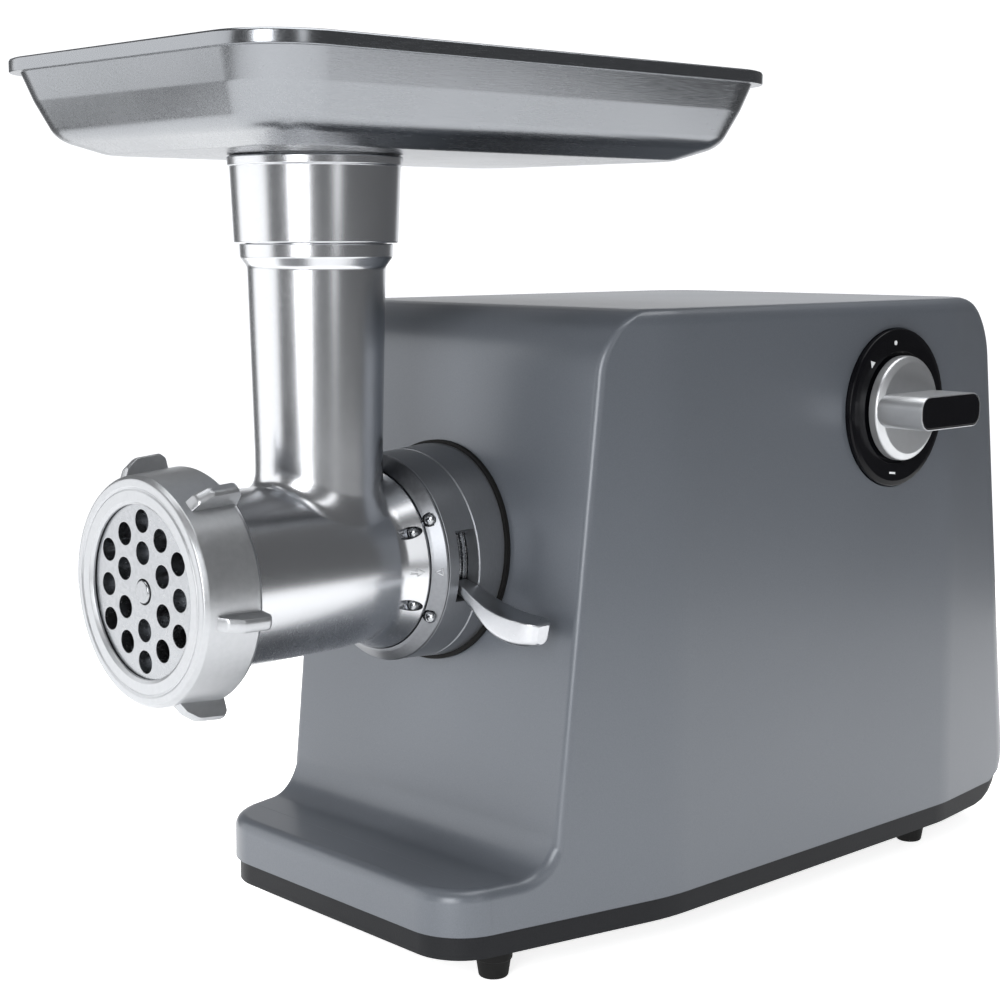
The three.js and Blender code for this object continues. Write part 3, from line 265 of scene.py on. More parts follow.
def surface(name, colour, other, roughness, spread, grain, metallic=0.0, bump=0.0, stretch=(1, 1, 1),
            coat=0.0, specular=0.5):
    """A finish whose colour, roughness and relief vary with a grain of so many cells per metre."""
    paint = bpy.data.materials.new(name)
    paint.use_nodes = True
    nodes, links = paint.node_tree.nodes, paint.node_tree.links
    shader = nodes["Principled BSDF"]
    shader.inputs["Metallic"].default_value = metallic
    shader.inputs["Coat Weight"].default_value = coat
    shader.inputs["Specular IOR Level"].default_value = specular
    shader.inputs["Coat Roughness"].default_value = 0.2
    place = nodes.new("ShaderNodeTexCoord")
    scale = nodes.new("ShaderNodeMapping")
    scale.inputs["Scale"].default_value = stretch
    links.new(place.outputs["Object"], scale.inputs["Vector"])
    fine = nodes.new("ShaderNodeTexNoise")
    fine.inputs["Scale"].default_value = grain
    fine.inputs["Detail"].default_value = 4
    links.new(scale.outputs["Vector"], fine.inputs["Vector"])
    broad = nodes.new("ShaderNodeTexNoise")
    broad.inputs["Scale"].default_value = 14
    broad.inputs["Detail"].default_value = 3
    links.new(place.outputs["Object"], broad.inputs["Vector"])
    tint = nodes.new("ShaderNodeMix")
    tint.data_type = "RGBA"
    tint.inputs["A"].default_value = (*colour, 1)
    tint.inputs["B"].default_value = (*other, 1)
    links.new(fine.outputs["Fac"], tint.inputs["Factor"])
    links.new(tint.outputs["Result"], shader.inputs["Base Color"])
    blend = nodes.new("ShaderNodeMath")
    blend.operation = "MULTIPLY_ADD"
    blend.inputs[1].default_value = 0.5
    links.new(fine.outputs["Fac"], blend.inputs[0])
    half = nodes.new("ShaderNodeMath")
    half.operation = "MULTIPLY"
    half.inputs[1].default_value = 0.5
    links.new(broad.outputs["Fac"], half.inputs[0])
    links.new(half.outputs[0], blend.inputs[2])
    rough = nodes.new("ShaderNodeMapRange")
    rough.inputs["From Min"].default_value = 0.3
    rough.inputs["From Max"].default_value = 0.7
    rough.inputs["To Min"].default_value = roughness - spread
    rough.inputs["To Max"].default_value = roughness + spread
    links.new(blend.outputs[0], rough.inputs["Value"])
    links.new(rough.outputs["Result"], shader.inputs["Roughness"])
    if bump:
        relief = nodes.new("ShaderNodeBump")
        relief.inputs["Strength"].default_value = bump
        relief.inputs["Distance"].default_value = 0.0002
        links.new(fine.outputs["Fac"], relief.inputs["Height"])
        links.new(relief.outputs["Normal"], shader.inputs["Normal"])
    return paint


HOUSING_TOP = local(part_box("main_housing")[1]).z
SHELF_TOP, SHELF_EDGE, COVE = 25, 4.5, 15
FRONT_EDGE, FRONT_HALF, FRONT_ROUND = 0.5, 66.5, 22
CREASE, REAR_CREASE = 92, 262
SPLAY = math.tan(math.radians(12.4))
WALL_FOOT, WALL_LEAN, REAR_TOP, REAR_LEAN, DRAFT = 40.2, 0.107, 306, 0.1125, 0.013
# Radii round the block's plan: front edges, creases in the sides, and rear corners.
WALL_EDGE, CREASE_R, REAR_CREASE_R, REAR_R = 3.5, 90, 70, 20
REAR_CREASE_HALF, REAR_HALF = 89.4, 81.5
# Radii of the block's top edges and of its heel.
TOP_SIDE_R, TOP_FRONT_R, TOP_REAR_R, HEEL_R = 6, 22, 25, 22


def wall_y(z):
    return WALL_FOOT + WALL_LEAN * z


def rear_y(z):
    return REAR_TOP + REAR_LEAN * (HOUSING_TOP - z)


def facet_half(y):
    return FRONT_HALF + (y - FRONT_EDGE) * SPLAY


def mirrored(right):
    return right + [(-x, y, r) for x, y, r in reversed(right)]


def edge_draw(r, depth):
    """How far an edge of radius r has drawn in at a depth below it."""
    return 0 if depth >= r else r - math.sqrt(r * r - (r - max(depth, 0)) ** 2)


def arc_depths(r, count):
    return [r * (1 - math.sin(math.pi / 2 * k / count)) for k in range(count + 1)]


def block_ring(z, skin):
    top, shrink = HOUSING_TOP - skin, DRAFT * z
    corners = mirrored([(facet_half(wall_y(z)) - shrink, wall_y(z), WALL_EDGE),
                        (facet_half(CREASE) - shrink, CREASE, CREASE_R),
                        (REAR_CREASE_HALF - shrink, REAR_CREASE, REAR_CREASE_R),
                        (REAR_HALF - shrink, rear_y(z), REAR_R)])
    side = skin + edge_draw(TOP_SIDE_R, top - z)
    front = skin + edge_draw(TOP_FRONT_R, top - z)
    rear = skin + edge_draw(TOP_REAR_R, top - z) + edge_draw(HEEL_R - skin, z)
    moved = drawn_in(corners, [side, side, side, rear, side, side, side, front])
    radii = [WALL_EDGE, CREASE_R, REAR_CREASE_R, REAR_R]
    radii += radii[::-1]
    # Each corner keeps its own number of points at every level, so the rings match.
    ring = []
    for i, ((x, y, _), r) in enumerate(zip(moved, radii)):
        keep = max(r - skin, 1)
        before, after = moved[i - 1][:2], moved[(i + 1) % 8][:2]
        ring += corner_arc(before, (x, y), after, keep, 9 if r == REAR_R else 4)
    return [(x, y, z) for x, y in ring]


def corner_arc(before, corner, after, r, count):
    here = Vector(corner)
    back, on = Vector(before) - here, Vector(after) - here
    room = 0.48 * min(back.length, on.length)
    back.normalize()
    on.normalize()
    half = math.acos(max(-1, min(1, back.dot(on)))) / 2
    reach = min(r / math.tan(half), room)
    centre = here + (back + on).normalized() * (reach / math.cos(half))
    arm = here + back * reach - centre
    sweep = (2 * half - math.pi) * math.copysign(1, back.x * on.y - back.y * on.x)
    points = []
    for k in range(count + 1):
        point = centre + Matrix.Rotation(sweep * k / count, 2) @ arm
        points.append((point.x, point.y))
    return points


def block(name, skin):
    top = HOUSING_TOP - skin
    depths = sorted({0, *arc_depths(TOP_REAR_R, 12), *arc_depths(TOP_SIDE_R, 5)})
    heights = [(HEEL_R - skin) * (1 - math.cos(math.pi / 2 * k / 6)) for k in range(7)]
    heights += [24 + (top - 52) * k / 6 for k in range(1, 7)] + [top - d for d in reversed(depths)]
    return loft(name, [block_ring(z, skin) for z in heights], sharp=40)


def shelf_ring(z, skin, reach):
    shrink = DRAFT * z
    corners = mirrored([(FRONT_HALF - shrink, FRONT_EDGE, FRONT_ROUND),
                        (facet_half(reach) - shrink, reach, 1)])
    moved = drawn_in(corners, [skin, 0, skin, skin])
    ring = []
    for i, ((x, y, _), r) in enumerate(zip(moved, [FRONT_ROUND, 1, 1, FRONT_ROUND])):
        ring += corner_arc(moved[i - 1][:2], (x, y), moved[(i + 1) % 4][:2], max(r - skin, 0.8),
                           12 if r > 1 else 1)
    return [(x, y, z) for x, y in ring]


def shelf(name, skin, reach):
    straight = [shelf_ring(z, skin, reach) for z in (0, 8, 14)]
    edge = [shelf_ring(SHELF_TOP - d, skin + edge_draw(SHELF_EDGE, d), reach)
            for d in arc_depths(SHELF_EDGE, 6)]
    return loft(name, straight + edge, sharp=40)


def prism_x(name, outline, x0, x1):
    """An outline of (y, z) points pushed along X."""
    return loft(name, [[(x0, y, z) for y, z in outline], [(x1, y, z) for y, z in outline]], sharp=20)


def below_seam(name, lift):
    heel = rear_y(8.4)
    return prism_x(name, [(-40, -5), (-40, 8.4 + lift), (heel - 26, 8.4 + lift), (heel - 16, 12 + lift),
                          (heel - 8, 26 + lift), (heel + 40, 26 + lift), (heel + 40, -5)], -150, 150)


lacquer = surface("grey_blue_lacquer", (0.073, 0.082, 0.096), (0.114, 0.126, 0.146), 0.4, 0.03, 2600,
                  metallic=0.25, bump=0.04, coat=0.25)
REACH = WALL_FOOT + 20
housing = block("housing_shell", 0)
cove_y = wall_y(SHELF_TOP + COVE) - COVE * math.hypot(1, WALL_LEAN)
# The shelf's top edge carries on round the cove and up the wall: a strip of sections along it.
lean = math.atan(WALL_LEAN)
path = [(cove_y - 12, SHELF_TOP, -math.pi / 2)]
for k in range(17):
    a = -math.pi / 2 + (math.pi / 2 - lean) * k / 16
    path.append((cove_y + COVE * math.cos(a), SHELF_TOP + COVE * (1 + math.sin(a)), a))
path.append((path[-1][0] + 14 * math.sin(lean), path[-1][1] + 14 * math.cos(lean), -lean))
PROUD, DEEP = 0.03, 13
saddle_rings = []
for k, (y, z, a) in enumerate(path):
    edge = SHELF_EDGE + (WALL_EDGE - SHELF_EDGE) * k / (len(path) - 1)
    rim = [(0, DEEP)]
    for q in range(7):
        a_rim = math.pi / 2 * q / 6
        rim.append((edge * (1 - math.cos(a_rim)), edge * (1 - math.sin(a_rim)) - PROUD))
    half_ring = []
    for inwards, depth in rim:
        py, pz = y + math.cos(a) * depth, z + math.sin(a) * depth
        half_ring.append((facet_half(py) - DRAFT * pz + PROUD - inwards, py, pz))
    saddle_rings.append(half_ring + [(-x, py, pz) for x, py, pz in reversed(half_ring)])
combine(housing, shelf("shelf", 0, REACH), "UNION")
combine(housing, loft("cove", saddle_rings), "UNION")
combine(housing, below_seam("seam_cut", 0.3))
AXIS = local(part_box("lock_ring")[0] / 2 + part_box("lock_ring")[1] / 2).z
DIAL_LOW, DIAL_HIGH = (local(corner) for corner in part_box("dial_ring"))
DIAL_Y, DIAL_Z = (DIAL_LOW.y + DIAL_HIGH.y) / 2, (DIAL_LOW.z + DIAL_HIGH.z) / 2
DIAL_R = (DIAL_HIGH.z - DIAL_LOW.z) / 2
INLET = local(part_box("cord_inlet")[0] / 2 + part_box("cord_inlet")[1] / 2)
combine(housing, block("hollow", 2.5))
combine(housing, turned("wall_hole", [(0, 20), (31, 20), (31, 80), (0, 80)], "Y", (0, 0, AXIS)))
combine(housing, turned("dial_recess", [(0, DIAL_LOW.x - 0.3), (DIAL_R + 0.4, DIAL_LOW.x - 0.3),
                                        (DIAL_R + 0.4, 130), (0, 130)], "X", (0, DIAL_Y, DIAL_Z)))
combine(housing, turned("inlet_hole", [(0, 290), (6.3, 290), (6.3, 340), (0, 340)], "Y",
                        (INLET.x, 0, INLET.z)))
fit(housing, "base", ["main_housing"], lacquer)

# --- Base -----------------------------------------------------------------------------------
# A charcoal plastic tub that closes the housing underneath and climbs up the rounded heel. It
# stands a little back from the lacquered shell, carries the feet and is slotted for cooling air.
BASE_BACK = 1.7
base = block("base_tub", BASE_BACK)
combine(base, shelf("base_shelf", BASE_BACK, REACH), "UNION")
combine(base, loft("above_seam", [[(x, y, z) for x, y in ((-150, -40), (150, -40), (150, 400), (-150, 400))]
                                  for z in (27, 300)]))
seam_side = below_seam("seam_side", 0)
combine(base, seam_side, "INTERSECT")
for slot_number in range(-3, 4):
    slot_outline = rounded([(9 * slot_number - 2, 150, 2), (9 * slot_number + 2, 150, 2),
                            (9 * slot_number + 2, 200, 2), (9 * slot_number - 2, 200, 2)], 30)
    combine(base, loft("vent", [[(x, y, z) for x, y in slot_outline] for z in (-1, 4)]))
charcoal = surface("charcoal_plastic", (0.006, 0.0065, 0.008), (0.012, 0.013, 0.015), 0.5, 0.06, 1800,
                   bump=0.25, specular=0.15)
fit(base, "base", ["base_tray"], charcoal)

# --- Feet -----------------------------------------------------------------------------------
# Four black rubber feet, slightly tapered, each with a moulded ring and a hollowed underside,
# pushed into the base by a short stem.
rubber = surface("black_rubber", (0.004, 0.004, 0.004), (0.01, 0.01, 0.01), 0.7, 0.08, 900, bump=0.3,
                 specular=0.15)
for corner_name in ("front_left", "front_right", "rear_left", "rear_right"):
    low, high = (local(p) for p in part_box("foot_" + corner_name))
    ground = low.z
    profile = rounded([(0, ground + 1.2, 0), (2.8, ground + 1.2, 0.4), (3.4, ground, 0.3),
                       (5.2, ground, 1.4), (6.2, ground + 6.4, 0.3), (6.7, ground + 6.8, 0.3),
                       (6.9, -1.6, 0.3), (7.1, -0.3, 0.3), (0, -0.3, 0)])
    middle = ((low.x + high.x) / 2, (low.y + high.y) / 2, 0)
    foot = turned("foot_pad_" + corner_name, profile, "Z", middle, 48)
    fit(foot, "base", ["foot_" + corner_name], rubber)

# --- Coupling -------------------------------------------------------------------------------
# The head plugs into a dark satin collar on the front wall. A thin black rubber ring at the
# collar's foot is painted shade, standing for the dark gap between collar and wall. A bright polished
# ring closes the collar's front, held by four cross-head screws that run through the wall into the gearbox.
# Painted shade: a thin black ring put where the collar meets the wall, in place of the shadowed gap.
gap_shade_ring = turned("collar_gap_shade_ring", rounded([(33, 44, 0), (40.6, 44, 0), (40.6, 61, 0), (33, 61, 0)]),
                "Y", (0, 0, AXIS), 128)
WALL_BLOCK = [(wall_y(0), 0), (wall_y(221), 221), (170, 221), (170, 0)]


def behind_wall(lead):
    return prism_x("behind_wall", [(y - lead, z) for y, z in WALL_BLOCK], -90, 90)


combine(gap_shade_ring, behind_wall(1.7), "INTERSECT")
combine(gap_shade_ring, behind_wall(0.2))
fit(gap_shade_ring, "base", ["coupling_gasket"], rubber)

COLLAR_FRONT = local(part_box("coupling_collar")[0]).y
RING_LOW = local(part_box("coupling_front_ring")[0]).y
dark_satin = surface("dark_satin_metal", (0.19, 0.2, 0.216), (0.26, 0.27, 0.288), 0.38, 0.05, 500,
                     metallic=0.85, bump=0.04, stretch=(1, 8, 1))
collar = turned("collar_sleeve", rounded([
    (33, COLLAR_FRONT, 0), (37.7, COLLAR_FRONT, 0.3), (38.35, 40.6, 0.12), (38.0, 40.9, 0.05),
    (38.0, 41.2, 0.05), (38.5, 41.5, 0.12), (39.5, 54, 0), (39.5, 66, 0), (33, 66, 0)]),
    "Y", (0, 0, AXIS), 160)
combine(collar, behind_wall(2.0))
SLOT_FROM, SLOT_TO, SLOT_FRONT, SLOT_REAR = -19, 20, 32, 40.6
wedge = [(0, AXIS)] + [(60 * math.cos(math.radians(a)), AXIS + 60 * math.sin(math.radians(a)))
                       for a in (SLOT_FROM + (SLOT_TO - SLOT_FROM) * k / 8 for k in range(9))]
combine(collar, loft("lever_slot", [[(x, y, z) for x, z in wedge] for y in (SLOT_FRONT, SLOT_REAR)]))
fit(collar, "base", ["coupling_collar"], dark_satin)

polished = surface("polished_aluminium", (0.42, 0.43, 0.45), (0.50, 0.51, 0.53), 0.3, 0.04, 700,
                   metallic=1.0, bump=0.01)
satin_ring = surface("satin_ring_aluminium", (0.14, 0.146, 0.157), (0.2, 0.207, 0.22), 0.34, 0.05, 700,
                     metallic=1.0, bump=0.02)
front_ring = turned("collar_front_ring", rounded([(33, RING_LOW, 0.2), (34.2, RING_LOW + 0.8, 1.5),
                                                  (37.5, 26.6, 0.4), (37.85, 27.1, 0.25), (37.7, 27.5, 0.1),
                                                  (33, 27.5, 0)]), "Y", (0, 0, AXIS), 160)
steel = surface("machined_steel", (0.28, 0.29, 0.305), (0.37, 0.38, 0.395), 0.26, 0.06, 700,
                metallic=1.0, bump=0.01)


def cross_head(name, x, z, front, r, body, node):
    """A pan-head screw seen from the front, with a cross recess."""
    profile = rounded([(0, front, 0), (r * 0.6, front + 0.1, 1.5), (r, front + r * 0.45, 0.5),
                       (r, front + 2.2, 0), (0, front + 2.2, 0)], 15)
    screw = turned(name, profile, "Y", (x, 0, z), 40)
    for tilt in (25, 115):
        along = Vector((math.cos(math.radians(tilt)), math.sin(math.radians(tilt))))
        across = Vector((-along.y, along.x))
        corners = ((-1, -1), (1, -1), (1, 1), (-1, 1))
        ends = [along * s * r * 0.68 + across * t * r * 0.17 for s, t in corners]
        inner = [along * s * r * 0.3 + across * t * r * 0.1 for s, t in corners]
        combine(screw, loft("recess", [[(x + p.x, front - 0.5, z + p.y) for p in ends],
                                       [(x + p.x, front + r * 0.85, z + p.y) for p in inner]]))
    return fit(screw, body, [node], steel)


for number in range(1, 5):
    low, high = (local(p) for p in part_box(f"collar_screw_{number}"))
    x, z = (low.x + high.x) / 2, (low.z + high.z) / 2
    combine(front_ring, turned("pocket", [(0, 15), (2.6, 15), (2.6, 25.3), (0, 25.3)], "Y", (x, 0, z), 32))
    cross_head(f"collar_screw_head_{number}", x, z, low.y, 2.2, "base", f"collar_screw_{number}")
fit(front_ring, "base", ["coupling_front_ring"], satin_ring)

# --- Lock ring and lever --------------------------------------------------------------------
# A grooved steel ring inside the collar, turned by a cast lever that comes out of the slot,
# drops away in a smooth curve and ends in a thumb paddle with a flat top.
ring_low, ring_high = (local(p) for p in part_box("lock_ring"))
band_end = ring_high.y + 3.5
ribs = []
for k in range(4):
    y = band_end - 4.9 + k * 1.2
    ribs += [(32.6, y, 0.1), (32.6, y + 0.75, 0.1), (32.2, y + 0.85, 0.1), (32.2, y + 1.1, 0.1)]
lock_ring = turned("lock_band", rounded([
    (30.3, ring_low.y, 0), (31.4, ring_low.y, 0.2), (31.4, band_end - 5.3, 0.2),
    (32.6, band_end - 5.2, 0.2), *ribs, (32.6, band_end, 0.2), (30.3, band_end, 0)], 30),
    "Y", (0, 0, AXIS), 128)
fit(lock_ring, "lever", ["lock_ring"], steel)

LEVER_ANGLE = math.radians(-13.5)
# Reach from the axis, drop, half height, front and rear faces.
LEVER = [(33.2, 0.3, 2.2, 33.0, 40.0), (37, 0.3, 2.2, 33.0, 40.0), (40, -0.3, 2.3, 33.0, 40.6),
         (44, -1.7, 2.6, 33.0, 41.8), (49, -3.5, 3.3, 33.0, 43.4), (55, -4.8, 4.1, 33.0, 44.6),
         (61, -4.9, 4.6, 33.0, 45.0), (66, -4.2, 4.7, 33.0, 45.0), (70.5, -3.3, 4.5, 33.5, 44.8),
         (73.3, -2.7, 4.1, 35.0, 43.6), (74.8, -2.4, 3.4, 37.0, 41.8)]


def eased(table, pieces):
    """A table's rows with smooth in-between rows added."""
    rows = []
    for i in range(len(table) - 1):
        a, b, c, d = (table[max(0, min(len(table) - 1, i + o))] for o in (-1, 0, 1, 2))
        for k in range(pieces):
            t = k / pieces
            rows.append([0.5 * (2 * q + (r - p) * t + (2 * p - 5 * q + 4 * r - w) * t * t
                                + (3 * q - p - 3 * r + w) * t ** 3) for p, q, r, w in zip(a, b, c, d)])
    return rows + [list(table[-1])]


lever_rings = []
for reach, drop, half, front, rear in eased(LEVER, 4):
    section = rounded([(front, -half, 2.4), (rear, -half, 2.4), (rear, half, 0.5), (front, half, 0.5)], 15)
    c, s = math.cos(LEVER_ANGLE), math.sin(LEVER_ANGLE)
    lever_rings.append([(reach * c - (drop + v) * s, y, AXIS + reach * s + (drop + v) * c)
                        for y, v in section])
fit(loft("lever_casting", lever_rings, sharp=30), "lever", ["lock_lever"], polished)

# --- Grinding head --------------------------------------------------------------------------
# One polished aluminium casting: a barrel with a thread for the ring nut, a flared flange that
# meets the collar's ring, and the feed tube that grows out of its top with a soft fillet.
head_low = local(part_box("head_casting")[0])
BARREL, BORE, THREAD, FLANGE = 30.5, 26.5, 33.2, 32.7
brushed_cast = surface("satin_cast_aluminium", (0.50, 0.51, 0.53), (0.58, 0.59, 0.61), 0.25, 0.035, 900,
                       metallic=1.0, bump=0.004, stretch=(1, 6, 1))
plate_low, plate_high = (local(p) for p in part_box("grinding_plate"))
SEAT = plate_high.y + 0.3
thread = []
y = head_low.y + 1.5
while y < -58:
    thread += [(32.2, y, 0.1), (THREAD, y + 0.9, 0.15), (THREAD, y + 1.4, 0.15), (32.2, y + 2.3, 0.1)]
    y += 3
barrel = turned("head_barrel", rounded([
    (31.3, SEAT, 0), (31.3, head_low.y, 0.3), (32.4, head_low.y, 0.3), *thread, (THREAD - 1, -57.5, 0.2),
    (BARREL, -54.5, 1.5), (30.0, 2, 60), (28.9, 14.5, 8), (FLANGE, 22.4, 0.5), (FLANGE, 26.4, 0),
    (29.5, 26.4, 0), (29.5, 46, 0.5), (10.4, 46, 0), (10.4, 28.3, 0), (BORE, 28.3, 1), (BORE, SEAT, 0)], 8),
    "Y", (0, 0, AXIS), 160)
THROAT = 19.5
combine(barrel, turned("throat", [(0, AXIS), (THROAT, AXIS), (THROAT, AXIS + 60), (0, AXIS + 60)], "Z",
                       sides=96))
for number in (1, 2):
    low, high = (local(p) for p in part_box(f"head_screw_{number}"))
    x, z = (low.x + high.x) / 2, (low.z + high.z) / 2
    floor_y = high.y - 0.3
    combine(barrel, turned("pocket", [(0, 14.2), (2.2, 14.2), (2.2, floor_y), (0, floor_y)], "Y",
                           (x, 0, z), 32))
    cross_head(f"head_screw_cap_{number}", x, z, low.y, 1.85, "head", f"head_screw_{number}")
fit(barrel, "head", ["head_casting"], brushed_cast)

# The tube's foot: each meridian leaves the barrel's skin and curves up into the tube's wall.
TUBE_FOOT, TUBE_TOP_R, FILLET = 22.4, 23.9, 5.5
SHOULDER = local(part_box("tray_sleeve")[0]).z - 0.3
around = 128
tube_rings = []


def barrel_skin(x, y):
    radius = BARREL + (30.0 - BARREL) * (y + 54.5) / 56.5 if y < 2 else 30.0 - (y - 2) * 0.088
    return AXIS + math.sqrt(max(radius * radius - x * x, 0)) - 0.03


def meridian_ring(share):
    ring = []
    for k in range(around):
        c, s = math.cos(2 * math.pi * k / around), math.sin(2 * math.pi * k / around)
        outer, inner = TUBE_FOOT + FILLET, TUBE_FOOT
        p0 = Vector((outer * c, min(outer * s, 14), 0))
        p0.z = barrel_skin(p0.x, p0.y)
        p1 = Vector((inner * c, inner * s, barrel_skin(inner * c, inner * s)))
        p2 = p1 + Vector((0, 0, FILLET * 1.4))
        ring.append(p0 * (1 - share) ** 2 + p1 * 2 * share * (1 - share) + p2 * share ** 2)
    return ring


def tube_ring(r, z):
    return [Vector((r * math.cos(2 * math.pi * k / around), r * math.sin(2 * math.pi * k / around), z))
            for k in range(around)]


tube_rings = [meridian_ring(k / 10) for k in range(11)]
tube_rings += [tube_ring(r, z) for r, z in rounded([
    (TUBE_FOOT, 172, 0), (TUBE_TOP_R, 235.5, 3), (TUBE_TOP_R + 2.4, 238.8, 1.2),
    (TUBE_TOP_R + 2.6, SHOULDER, 0.4), (24.4, SHOULDER, 0), (24.4, 262, 0.8), (THROAT, 262, 0.8),
    (THROAT, AXIS + 21.5, 0)])]
tube = loft("feed_tube", tube_rings, sharp=35, capped=False)
fit(tube, "head", [], brushed_cast)

# --- Alignment marks ------------------------------------------------------------------------
# A small raised arrow on the head's flare points at a small raised triangle on the collar's
# ring, so the head can be lined up before the lever is turned.


def raised_outline(name, outline, centre_x, centre_z, y_at, body):
    """A fine raised line round an outline, laid on the flare by y_at."""
    curve = bpy.data.curves.new(name, "CURVE")
    curve.dimensions = "3D"
    curve.bevel_depth = 0.00028
    curve.bevel_resolution = 2
    spline = curve.splines.new("POLY")
    spline.points.add(len(outline) - 1)
    for point, (u, v) in zip(spline.points, outline):
        x, z = centre_x + u, centre_z + v
        spot = start + Vector((x, y_at(math.hypot(x, z - AXIS)), z)) * MM
        point.co = (*spot, 1)
    spline.use_cyclic_u = True
    mark = bpy.data.objects.new(name, curve)
    bpy.context.scene.collection.objects.link(mark)
    mark.data.materials.append(polished)
    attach(mark, body)


def flare_y(r):
    return 14.5 + (r - 28.9) / (FLANGE - 28.9) * 7.9 - 0.15


def ring_face_y(r):
    return RING_LOW + 0.8 + (r - 34.2) / 3.3 * (26.6 - RING_LOW - 0.8) - 0.15


raised_outline("arrow_mark", [(-1.0, -0.5), (0.1, -0.5), (0.1, -1.3), (1.3, 0), (0.1, 1.3), (0.1, 0.5),
                              (-1.0, 0.5)],
               30.8, AXIS - 0.8, flare_y, "head")
raised_outline("triangle_mark", [(-1.0, 0), (0.8, 1.2), (0.8, -1.2)], 35.7, AXIS - 0.8, ring_face_y, "base")

# --- Auger, knife and their shaft -----------------------------------------------------------
# A cast screw that carries the meat forward, with a square seat for the four-armed knife, a pin
# that runs in the plate, and a steel hexagon that plugs into the drive.
auger_low, auger_high = (local(p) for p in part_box("auger"))
AUGER_FRONT, AUGER_REAR, FLIGHT, PITCH = -61.8, auger_high.y, 25.5, 34
rings = []
for j in range(121):
    y = AUGER_FRONT + (AUGER_REAR - AUGER_FRONT) * j / 120
    core = 11 + 5 * j / 120
    ring = []
    for k in range(72):
        a = 2 * math.pi * k / 72
        phase = (math.cos(a - 2 * math.pi * y / PITCH) - 0.45) / 0.47
        rise = min(max(phase, 0), 1)
        r = core + (FLIGHT - core) * rise * rise * (3 - 2 * rise)
        ring.append((r * math.cos(a), y, AXIS + r * math.sin(a)))
    rings.append(ring)
auger = loft("auger_screw", rings, sharp=50)
fit(auger, "auger_set", ["auger"], brushed_cast)
pin = turned("auger_pin", rounded([(0, auger_low.y, 0), (3.9, auger_low.y, 0.8), (3.9, AUGER_FRONT, 0),
                                   (0, AUGER_FRONT, 0)]), "Y", (0, 0, AXIS), 48)
fit(pin, "auger_set", [], steel)

# --- Grinding plate -------------------------------------------------------------------------
# A ground steel disc with eighteen drilled holes in three rings and a centre hole for the
# auger's pin.
flat_plate = bpy.data.curves.new("perforated_plate", "CURVE")
flat_plate.dimensions = "2D"
flat_plate.fill_mode = "BOTH"
flat_plate.extrude = (plate_high.y - plate_low.y) / 2 * MM - 0.00025
flat_plate.bevel_depth = 0.00025
flat_plate.bevel_resolution = 1


def plate_circle(x, z, r, count):
    spline = flat_plate.splines.new("POLY")
    spline.points.add(count - 1)
    for k, point in enumerate(spline.points):
        a = 2 * math.pi * k / count
        point.co = ((x + r * math.cos(a)) * MM, (z + r * math.sin(a)) * MM, 0, 1)
    spline.use_cyclic_u = True


plate_circle(0, 0, 30.7, 128)
plate_circle(0, 0, 4.6, 40)
for radius, first in ((12.9, 30), (23.5, 30), (21.0, 0)):
    for k in range(6):
        a = math.radians(first + 60 * k)
        plate_circle(radius * math.cos(a), radius * math.sin(a), 4.1, 40)
plate_curve = bpy.data.objects.new("plate_curve", flat_plate)
bpy.context.scene.collection.objects.link(plate_curve)
bpy.context.view_layer.update()
finished = plate_curve.evaluated_get(bpy.context.evaluated_depsgraph_get())
plate_mesh = bpy.data.meshes.new_from_object(finished)
bpy.data.objects.remove(plate_curve)
plate_mesh.transform(Matrix.Translation(start + Vector((0, (plate_low.y + plate_high.y) / 2, AXIS)) * MM)
                     @ Matrix.Rotation(math.radians(90), 4, "X"))
plate = bpy.data.objects.new("perforated_plate", plate_mesh)
bpy.context.scene.collection.objects.link(plate)
settle(plate, 30)
fit(plate, "plate", ["grinding_plate"], steel)

# --- Ring nut -------------------------------------------------------------------------------
# A polished aluminium ring that screws onto the barrel and holds the plate, with a turned face
# and six rounded grip lugs cast on its rim.
nut_low, nut_high = (local(p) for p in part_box("ring_nut"))
FACE, NUT_REAR, NUT_R = nut_low.y, nut_high.y, 38.5
nut = turned("ring_nut_body", rounded([
    (29, FACE + 1.0, 0.4), (30.2, FACE + 0.1, 0.5), (33.5, FACE, 0.4), (34.2, FACE + 0.5, 0.3),
    (35, FACE, 0.4), (37.2, FACE, 1.2), (NUT_R, FACE + 1.8, 1.2), (NUT_R + 1.4, NUT_REAR - 1.4, 0.8),
    (NUT_R + 0.6, NUT_REAR, 0.5), (33.7, NUT_REAR, 0.4), (33.7, FACE + 1.8, 0), (29, FACE + 1.8, 0.2)], 10),
    "Y", (0, 0, AXIS), 160)
LUG = [(FACE + 3.2, NUT_R - 2, 0), (FACE + 6.2, 42.2, 2.5), (FACE + 10.5, 45.2, 3),
       (NUT_REAR - 1.6, 46.0, 1.5), (NUT_REAR - 0.1, 44.6, 1.2), (NUT_REAR - 0.1, NUT_R - 2, 0)]
for k in range(6):
    turn = Matrix.Rotation(math.radians(98 + 60 * k), 3, "Y")
    lug_rings = []
    for side, shrink in ((-1, 0.75), (-0.72, 0.2), (-0.3, 0), (0.3, 0), (0.72, 0.2), (1, 0.75)):
        outline = [(y, r if r < NUT_R else r - shrink) for y, r in rounded(LUG, 15)]
        lug_rings.append([turn @ Vector((side * 2.25, y, r)) + Vector((0, 0, AXIS)) for y, r in outline])
    combine(nut, loft("lug", lug_rings), "UNION", sharp=40)
bright_cast = surface("bright_cast_aluminium", (0.36, 0.37, 0.385), (0.44, 0.45, 0.465), 0.36, 0.05, 500,
                      metallic=0.9, bump=0.02)
fit(nut, "ring", ["ring_nut"], bright_cast)

